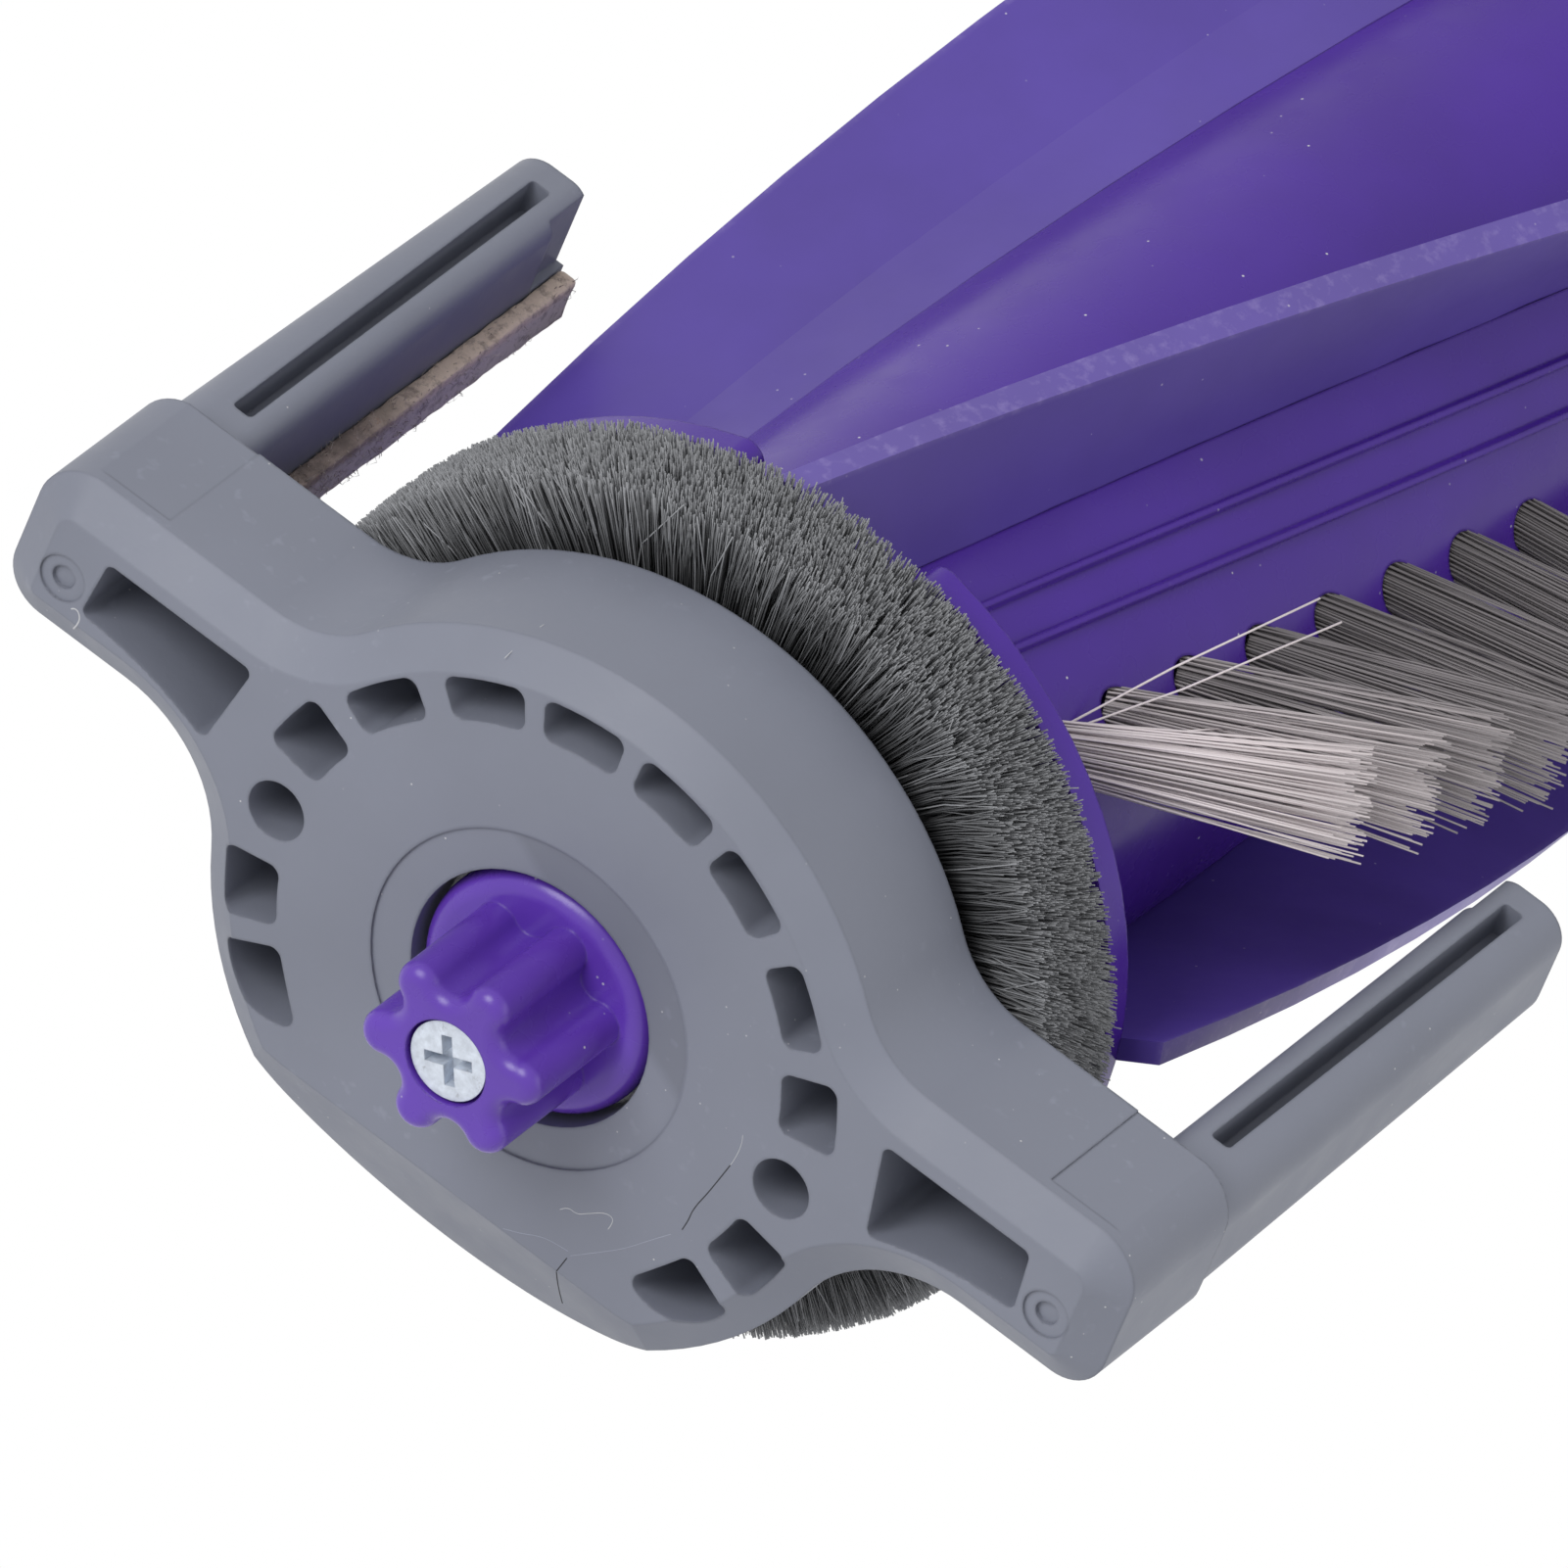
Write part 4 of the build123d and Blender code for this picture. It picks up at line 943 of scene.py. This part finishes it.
# Loose hairs of the felt
LINT_SIDES = 3
LINT_TIP_SHARE = 0.0
LINT_LENGTH = 1.0 * MM
LINT_LENGTH_POWER = 2
LINT_GATHER_POWER = 2
LINT_LEAST = 0.08
LINT_LEAN = 1.1
LINT_LEAN_SHARE = 0.7
LINT_BEND_SHARE = 0.5
LINT_BOW = 0.1 * MM
LINT_MARGIN = 0.02 * MM
LINT_RISE = 0.5 * MM


def felt_strip(name, node, seed, felt, lint):
    """Worn felt strip with loose hairs, in place of the plain strip."""
    low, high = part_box(node)
    high.x += FELT_OVERHANG
    strip = felt_body(name, low, high)
    strip.data.materials.append(felt)
    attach(strip, FRAME_BODY)
    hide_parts(node)
    hairs = felt_hairs(name + "_lint", strip.data, low, high, seed)
    hairs.data.materials.append(lint)
    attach(hairs, FRAME_BODY)


def put_in_order(mesh):
    """Numbers corners and faces by their places, because a bevel may number them otherwise in each run."""
    points = np.array([v.co for v in mesh.vertices], float)
    order = np.lexsort(np.round(points, ORDER_DIGITS).T)
    rank = np.argsort(order)
    faces = []
    for face in mesh.polygons:
        corners = rank[list(face.vertices)].tolist()
        first = corners.index(min(corners))
        faces.append(corners[first:] + corners[:first])
    mesh.clear_geometry()
    mesh.from_pydata(points[order].tolist(), [], sorted(faces))
    mesh.update()


def felt_body(name, low, high):
    """Strip between two corners, with soft edges and an uneven surface."""
    size = high - low
    deselect()
    bpy.ops.mesh.primitive_cube_add(size=1.0)
    strip = bpy.context.object
    strip.name = name
    bpy.ops.object.mode_set(mode="EDIT")
    bpy.ops.mesh.select_all(action="SELECT")
    bpy.ops.transform.resize(value=(size.x - FELT_SWELL, size.y - FELT_SWELL, size.z - FELT_SWELL))
    bpy.ops.transform.translate(value=(low + high) / 2)
    bpy.ops.mesh.bevel(offset=FELT_BEVEL, segments=FELT_BEVEL_SEGMENTS, affect="EDGES")
    for cut in range(1, FELT_LENGTH_CUTS):
        bpy.ops.mesh.select_all(action="SELECT")
        place = low.x + size.x * cut / FELT_LENGTH_CUTS
        bpy.ops.mesh.bisect(plane_co=(place, 0, 0), plane_no=(1, 0, 0))
    bpy.ops.mesh.select_all(action="SELECT")
    bpy.ops.mesh.subdivide(number_cuts=FELT_FINE_CUTS)
    bpy.ops.mesh.normals_make_consistent(inside=False)
    bpy.ops.object.mode_set(mode="OBJECT")
    put_in_order(strip.data)
    for vertex in strip.data.vertices:
        swell = noise.noise(vertex.co * FELT_SWELL_SCALE)
        vertex.co += vertex.normal * swell * FELT_SWELL
    bpy.ops.object.shade_smooth()
    return strip


def felt_hairs(name, mesh, low, high, seed):
    """Loose hairs on a strip, most of them where it meets the wing."""
    rng = np.random.default_rng(seed)
    count = sizes().felt_lint
    mesh.calc_loop_triangles()
    triangles = np.array([t.vertices for t in mesh.loop_triangles], int)
    points = np.array([v.co for v in mesh.vertices], float)
    areas = np.array([t.area for t in mesh.loop_triangles])
    reach = (high.x - points[triangles].mean(1)[:, 0]) / (high - low).x
    odds = areas * (np.clip(reach, 0, 1) ** LINT_GATHER_POWER + LINT_LEAST)
    chosen = rng.choice(len(areas), count, p=odds / odds.sum())
    weight = rng.dirichlet((1, 1, 1), count)
    roots = (points[triangles[chosen]] * weight[:, :, None]).sum(1)
    normals = np.array([mesh.loop_triangles[i].normal for i in chosen], float)
    lean = rng.normal(0, LINT_LEAN, (count, 3))
    heading = unit(normals + lean * LINT_LEAN_SHARE)
    length = LINT_LENGTH * rng.random(count)[:, None] ** LINT_LENGTH_POWER
    tips = roots + heading * length
    bends = roots + unit(normals) * length * LINT_BEND_SHARE + rng.normal(0, LINT_BOW, (count, 3))
    least = np.array(low) + LINT_MARGIN
    most = np.array(high) - LINT_MARGIN + np.array([0, 0, LINT_RISE])
    tips = np.clip(tips, least, most)
    radii = np.full(count, sizes().lint_radius)
    tones = rng.random(count)
    return grow(name, filament_template(LINT_SIDES, LINT_TIP_SHARE), roots, bends, tips, radii, tones)


# Wear on the end frame, as X, Y and Z places in millimetres
CRACK_LONG = (
    (0, -12.96, -6.53), (0, -13.08, -5.85), (0, -13.06, -4.85), (0, -13.52, -3.12), (0, -13.97, -0.80))
CRACK_EDGE = ((0, -7.74, -13.08), (0, -7.60, -13.80), (0, -7.50, -14.28))
CRACK_SLOPE = ((0.03, -7.50, -14.35), (1.20, -7.42, -16.15), (2.51, -7.62, -18.18))
WELD_CURVE = (
    (0, -12.50, -7.26), (0, -11.51, -8.59), (0, -10.54, -9.99), (0, -9.26, -11.38), (0, -7.86, -12.81))
WELD_RIDGE = (
    (0, -7.64, -12.65), (0, -6.61, -12.75), (0, -5.69, -13.09), (0, -4.85, -13.67), (0, -3.82, -14.14))
CRACK_TAIL = ((0, -13.97, -0.80), (0, -14.22, 0.67), (0, -13.92, 1.43))
RIM_SCRATCH = ((0.5, 8.94, 17.87), (2.2, 8.66, 19.24), (2.8, 8.51, 19.33))
LINT_CURL = (
    (0, -6.30, -10.61), (0, -6.64, -10.11), (0, -7.26, -10.18), (0, -7.82, -9.64),
    (0, -8.59, -8.91), (0, -9.15, -8.78), (0, -9.30, -9.16), (0, -9.19, -9.67))
DIMPLE_SCUFF = ((0, 32.05, 2.75), (0, 31.85, 3.0), (0, 31.45, 2.75), (0, 31.35, 2.2), (0, 31.5, 1.7))
CRACK_RADIUS = 0.05 * MM
TAIL_RADIUS = 0.022 * MM
SCUFF_RADIUS = 0.06 * MM
CURL_RADIUS = 0.03 * MM
LINE_ORDER = 3
LINE_ROUNDNESS = 1
# Share of a line's radius by which it is sunk into the face
SINK = 0.6


def hairline(name, places, radius, material):
    """Fine line that follows a surface of the end frame."""
    curve = bpy.data.curves.new(name, "CURVE")
    curve.dimensions = "3D"
    curve.bevel_depth = radius
    curve.bevel_resolution = LINE_ROUNDNESS
    curve.use_fill_caps = True
    spline = curve.splines.new("NURBS")
    spline.points.add(len(places) - 1)
    for point, (x, y, z) in zip(spline.points, places):
        point.co = (x * MM + radius * SINK, y * MM, z * MM, 1.0)
    spline.order_u = LINE_ORDER
    spline.use_endpoint_u = True
    line = bpy.data.objects.new(name, curve)
    bpy.context.scene.collection.objects.link(line)
    deselect()
    line.select_set(True)
    bpy.context.view_layer.objects.active = line
    bpy.ops.object.convert(target="MESH")
    line = bpy.context.object
    line.data.materials.append(material)
    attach(line, FRAME_BODY)


class VACUUM_BRUSH_OT_stage(bpy.types.Operator):
    """Camera, floor, world and lamps of the studio"""

    bl_idname = "vacuum_brush.stage"
    bl_label = "Studio"

    def execute(self, context):
        scene = context.scene
        scene.view_settings.view_transform = "Standard"
        azimuth = math.radians(CAMERA_AZIMUTH)
        elevation = math.radians(CAMERA_ELEVATION)
        level = math.cos(elevation)
        back = Vector((math.sin(azimuth) * level, -math.cos(azimuth) * level, math.sin(elevation)))
        turn = (-back).to_track_quat("-Z", "Y").to_matrix().to_4x4()
        turn = turn @ Matrix.Rotation(math.radians(CAMERA_ROLL), 4, "Z")
        data = bpy.data.cameras.new("photo_camera")
        data.lens = CAMERA_LENS
        data.sensor_width = CAMERA_SENSOR
        data.clip_start = CLIP_START
        data.clip_end = CLIP_END
        camera = bpy.data.objects.new("photo_camera", data)
        camera.matrix_world = Matrix.Translation(Vector(CAMERA_TARGET) + back * CAMERA_DISTANCE) @ turn
        scene.collection.objects.link(camera)
        scene.camera = camera
        self.lamp(scene, "key", Vector(KEY_PLACE), KEY_SIZE, KEY_POWER)
        self.lamp(scene, "fill", Vector(FILL_PLACE), FILL_SIZE, FILL_POWER)
        self.floor()
        self.world(scene)
        return {"FINISHED"}

    def lamp(self, scene, name, place, size, power):
        """Round lamp that faces the origin."""
        data = bpy.data.lights.new(name, "AREA")
        data.shape = "DISK"
        data.size = size
        data.energy = power
        lamp = bpy.data.objects.new(name, data)
        turn = (-place).to_track_quat("-Z", "Y").to_matrix().to_4x4()
        lamp.matrix_world = Matrix.Translation(place) @ turn
        scene.collection.objects.link(lamp)

    def seen(self, nodes, links):
        """One for what the camera, gloss or glass sees, nought for the light on the object."""
        path = nodes.new("ShaderNodeLightPath")
        total = None
        for name in ("Is Camera Ray", "Is Glossy Ray", "Is Transmission Ray"):
            if total is None:
                total = path.outputs[name]
                continue
            node = nodes.new("ShaderNodeMath")
            node.operation = "MAXIMUM"
            links.new(total, node.inputs[0])
            links.new(path.outputs[name], node.inputs[1])
            total = node.outputs["Value"]
        return total

    def whiten(self, tree, plain, white, output):
        """Joins a plain and a white shader, so that the background is white and the light is not."""
        mix = tree.nodes.new("ShaderNodeMixShader")
        tree.links.new(self.seen(tree.nodes, tree.links), mix.inputs["Fac"])
        tree.links.new(plain, mix.inputs[1])
        tree.links.new(white, mix.inputs[2])
        tree.links.new(mix.outputs["Shader"], tree.nodes[output].inputs["Surface"])

    def floor(self):
        """Wide pale floor below the object."""
        deselect()
        bpy.ops.mesh.primitive_plane_add(size=FLOOR_SIZE, location=(0, 0, CAD_BOX[0].z - FLOOR_GAP))
        floor = bpy.context.object
        floor.name = "floor"
        material = bpy.data.materials.new("pale_floor")
        material.use_nodes = True
        tree = material.node_tree
        plain = tree.nodes["Principled BSDF"]
        plain.inputs["Base Color"].default_value = FLOOR_COLOUR
        plain.inputs["Roughness"].default_value = FLOOR_ROUGHNESS
        white = tree.nodes.new("ShaderNodeEmission")
        self.whiten(tree, plain.outputs["BSDF"], white.outputs["Emission"], "Material Output")
        floor.data.materials.append(material)

    def world(self, scene):
        """Even light from all sides."""
        world = bpy.data.worlds.new("studio")
        world.use_nodes = True
        scene.world = world
        tree = world.node_tree
        soft = tree.nodes["Background"]
        soft.inputs["Color"].default_value = WHITE
        soft.inputs["Strength"].default_value = AMBIENT
        white = tree.nodes.new("ShaderNodeBackground")
        white.inputs["Color"].default_value = WHITE
        self.whiten(tree, soft.outputs["Background"], white.outputs["Background"], "World Output")


class VACUUM_BRUSH_OT_plastics(bpy.types.Operator):
    """Plastic and metal finishes of the CAD nodes"""

    bl_idname = "vacuum_brush.plastics"
    bl_label = "Plastic and metal"

    def execute(self, context):
        paint(GREY_NODES, grey_plastic())
        paint(HUB_NODES, purple_plastic("hub_purple", tuple(colours().hub_purple), HUB_SURFACE))
        paint(CORE_NODES, purple_plastic("core_purple", tuple(colours().core_purple), CORE_SURFACE))
        paint(PADDLE_NODES, soft_purple("soft_purple_paddle", "paddle_a"))
        paint(BLADE_NODES, soft_purple("soft_purple_blade", "blade_a"))
        paint(STEEL_NODES, bearing_steel())
        paint(ZINC_NODES, zinc_plate())
        return {"FINISHED"}


class VACUUM_BRUSH_OT_pile(bpy.types.Operator):
    """Pile rings at both ends of the roller"""

    bl_idname = "vacuum_brush.pile"
    bl_label = "Pile rings"

    def execute(self, context):
        material = pile_fibre()
        drive = sizes().pile_fibres
        idle = sizes().idle_pile_fibres
        pile_ring("drive_ring", "drive_pile", "drive_pile_backing", drive,
                  DRIVE_PILE_SECTORS, SEED, material)
        pile_ring("idle_ring", "idle_pile", "idle_pile_backing", idle,
                  IDLE_PILE_SECTORS, IDLE_PILE_SEED, material)
        return {"FINISHED"}


class VACUUM_BRUSH_OT_bristles(bpy.types.Operator):
    """Bristle tufts of the roller"""

    bl_idname = "vacuum_brush.bristles"
    bl_label = "Bristle tufts"

    def execute(self, context):
        material = bristle_filament()
        for order, side in enumerate("ab"):
            kept = TUFT_KEPT[side]
            strays = STRAY_FILAMENTS[side]
            bristle_row("row_" + side + "_filaments", "bristle_row_" + side, SEED + order,
                        TUFT_SPREAD, TUFT_TONE, kept, (), material)
            bristle_row("end_" + side + "_filaments", "bristle_end_" + side, TUFT_END_SEED + order,
                        TUFT_END_SPREAD, TUFT_END_TONE, kept, strays, material)
        return {"FINISHED"}


class VACUUM_BRUSH_OT_felt(bpy.types.Operator):
    """Worn felt strips on the arms"""

    bl_idname = "vacuum_brush.felt"
    bl_label = "Felt strips"

    def execute(self, context):
        felt = dirty_felt()
        lint = lint_hair()
        felt_strip("felt_strip_left", "felt_left", FELT_LEFT_SEED, felt, lint)
        felt_strip("felt_strip_right", "felt_right", FELT_RIGHT_SEED, felt, lint)
        return {"FINISHED"}


class VACUUM_BRUSH_OT_wear(bpy.types.Operator):
    """Cracks, weld lines, scuffs and a curl of lint on the end frame"""

    bl_idname = "vacuum_brush.wear"
    bl_label = "Wear"

    def execute(self, context):
        dark = crack_shadow()
        pale = pale_scuff()
        weld = weld_line()
        hairline("crack_long", CRACK_LONG, CRACK_RADIUS, dark)
        hairline("crack_edge", CRACK_EDGE, CRACK_RADIUS, dark)
        hairline("crack_slope", CRACK_SLOPE, CRACK_RADIUS, dark)
        hairline("crack_tail", CRACK_TAIL, TAIL_RADIUS, pale)
        hairline("weld_curve", WELD_CURVE, TAIL_RADIUS, weld)
        hairline("weld_ridge", WELD_RIDGE, TAIL_RADIUS, weld)
        hairline("rim_scratch", RIM_SCRATCH, TAIL_RADIUS, pale)
        hairline("dimple_scuff", DIMPLE_SCUFF, SCUFF_RADIUS, pale)
        hairline("lint_curl", LINT_CURL, CURL_RADIUS, pale)
        return {"FINISHED"}


class VACUUM_BRUSH_PT_panel(bpy.types.Panel):
    """The steps and values of the brush's finish"""

    bl_label = "Vacuum Brush"
    bl_space_type = "VIEW_3D"
    bl_region_type = "UI"
    bl_category = "Vacuum Brush"

    def draw(self, context):
        layout = self.layout
        for step in STEPS:
            layout.operator(step.bl_idname)
        for values in (context.scene.brush_sizes, context.scene.brush_colours):
            for name in values.__annotations__:
                layout.prop(values, name)


STEPS = (
    VACUUM_BRUSH_OT_stage,
    VACUUM_BRUSH_OT_plastics,
    VACUUM_BRUSH_OT_pile,
    VACUUM_BRUSH_OT_bristles,
    VACUUM_BRUSH_OT_felt,
    VACUUM_BRUSH_OT_wear,
)
CLASSES = (BrushSizes, BrushColours, *STEPS, VACUUM_BRUSH_PT_panel)


def register():
    for each in CLASSES:
        bpy.utils.register_class(each)
    bpy.types.Scene.brush_sizes = bpy.props.PointerProperty(type=BrushSizes)
    bpy.types.Scene.brush_colours = bpy.props.PointerProperty(type=BrushColours)


def unregister():
    del bpy.types.Scene.brush_colours
    del bpy.types.Scene.brush_sizes
    for each in reversed(CLASSES):
        bpy.utils.unregister_class(each)


def main():
    register()
    bpy.ops.vacuum_brush.stage()
    bpy.ops.vacuum_brush.plastics()
    bpy.ops.vacuum_brush.pile()
    bpy.ops.vacuum_brush.bristles()
    bpy.ops.vacuum_brush.felt()
    bpy.ops.vacuum_brush.wear()


if __name__ == "__main__":
    main()
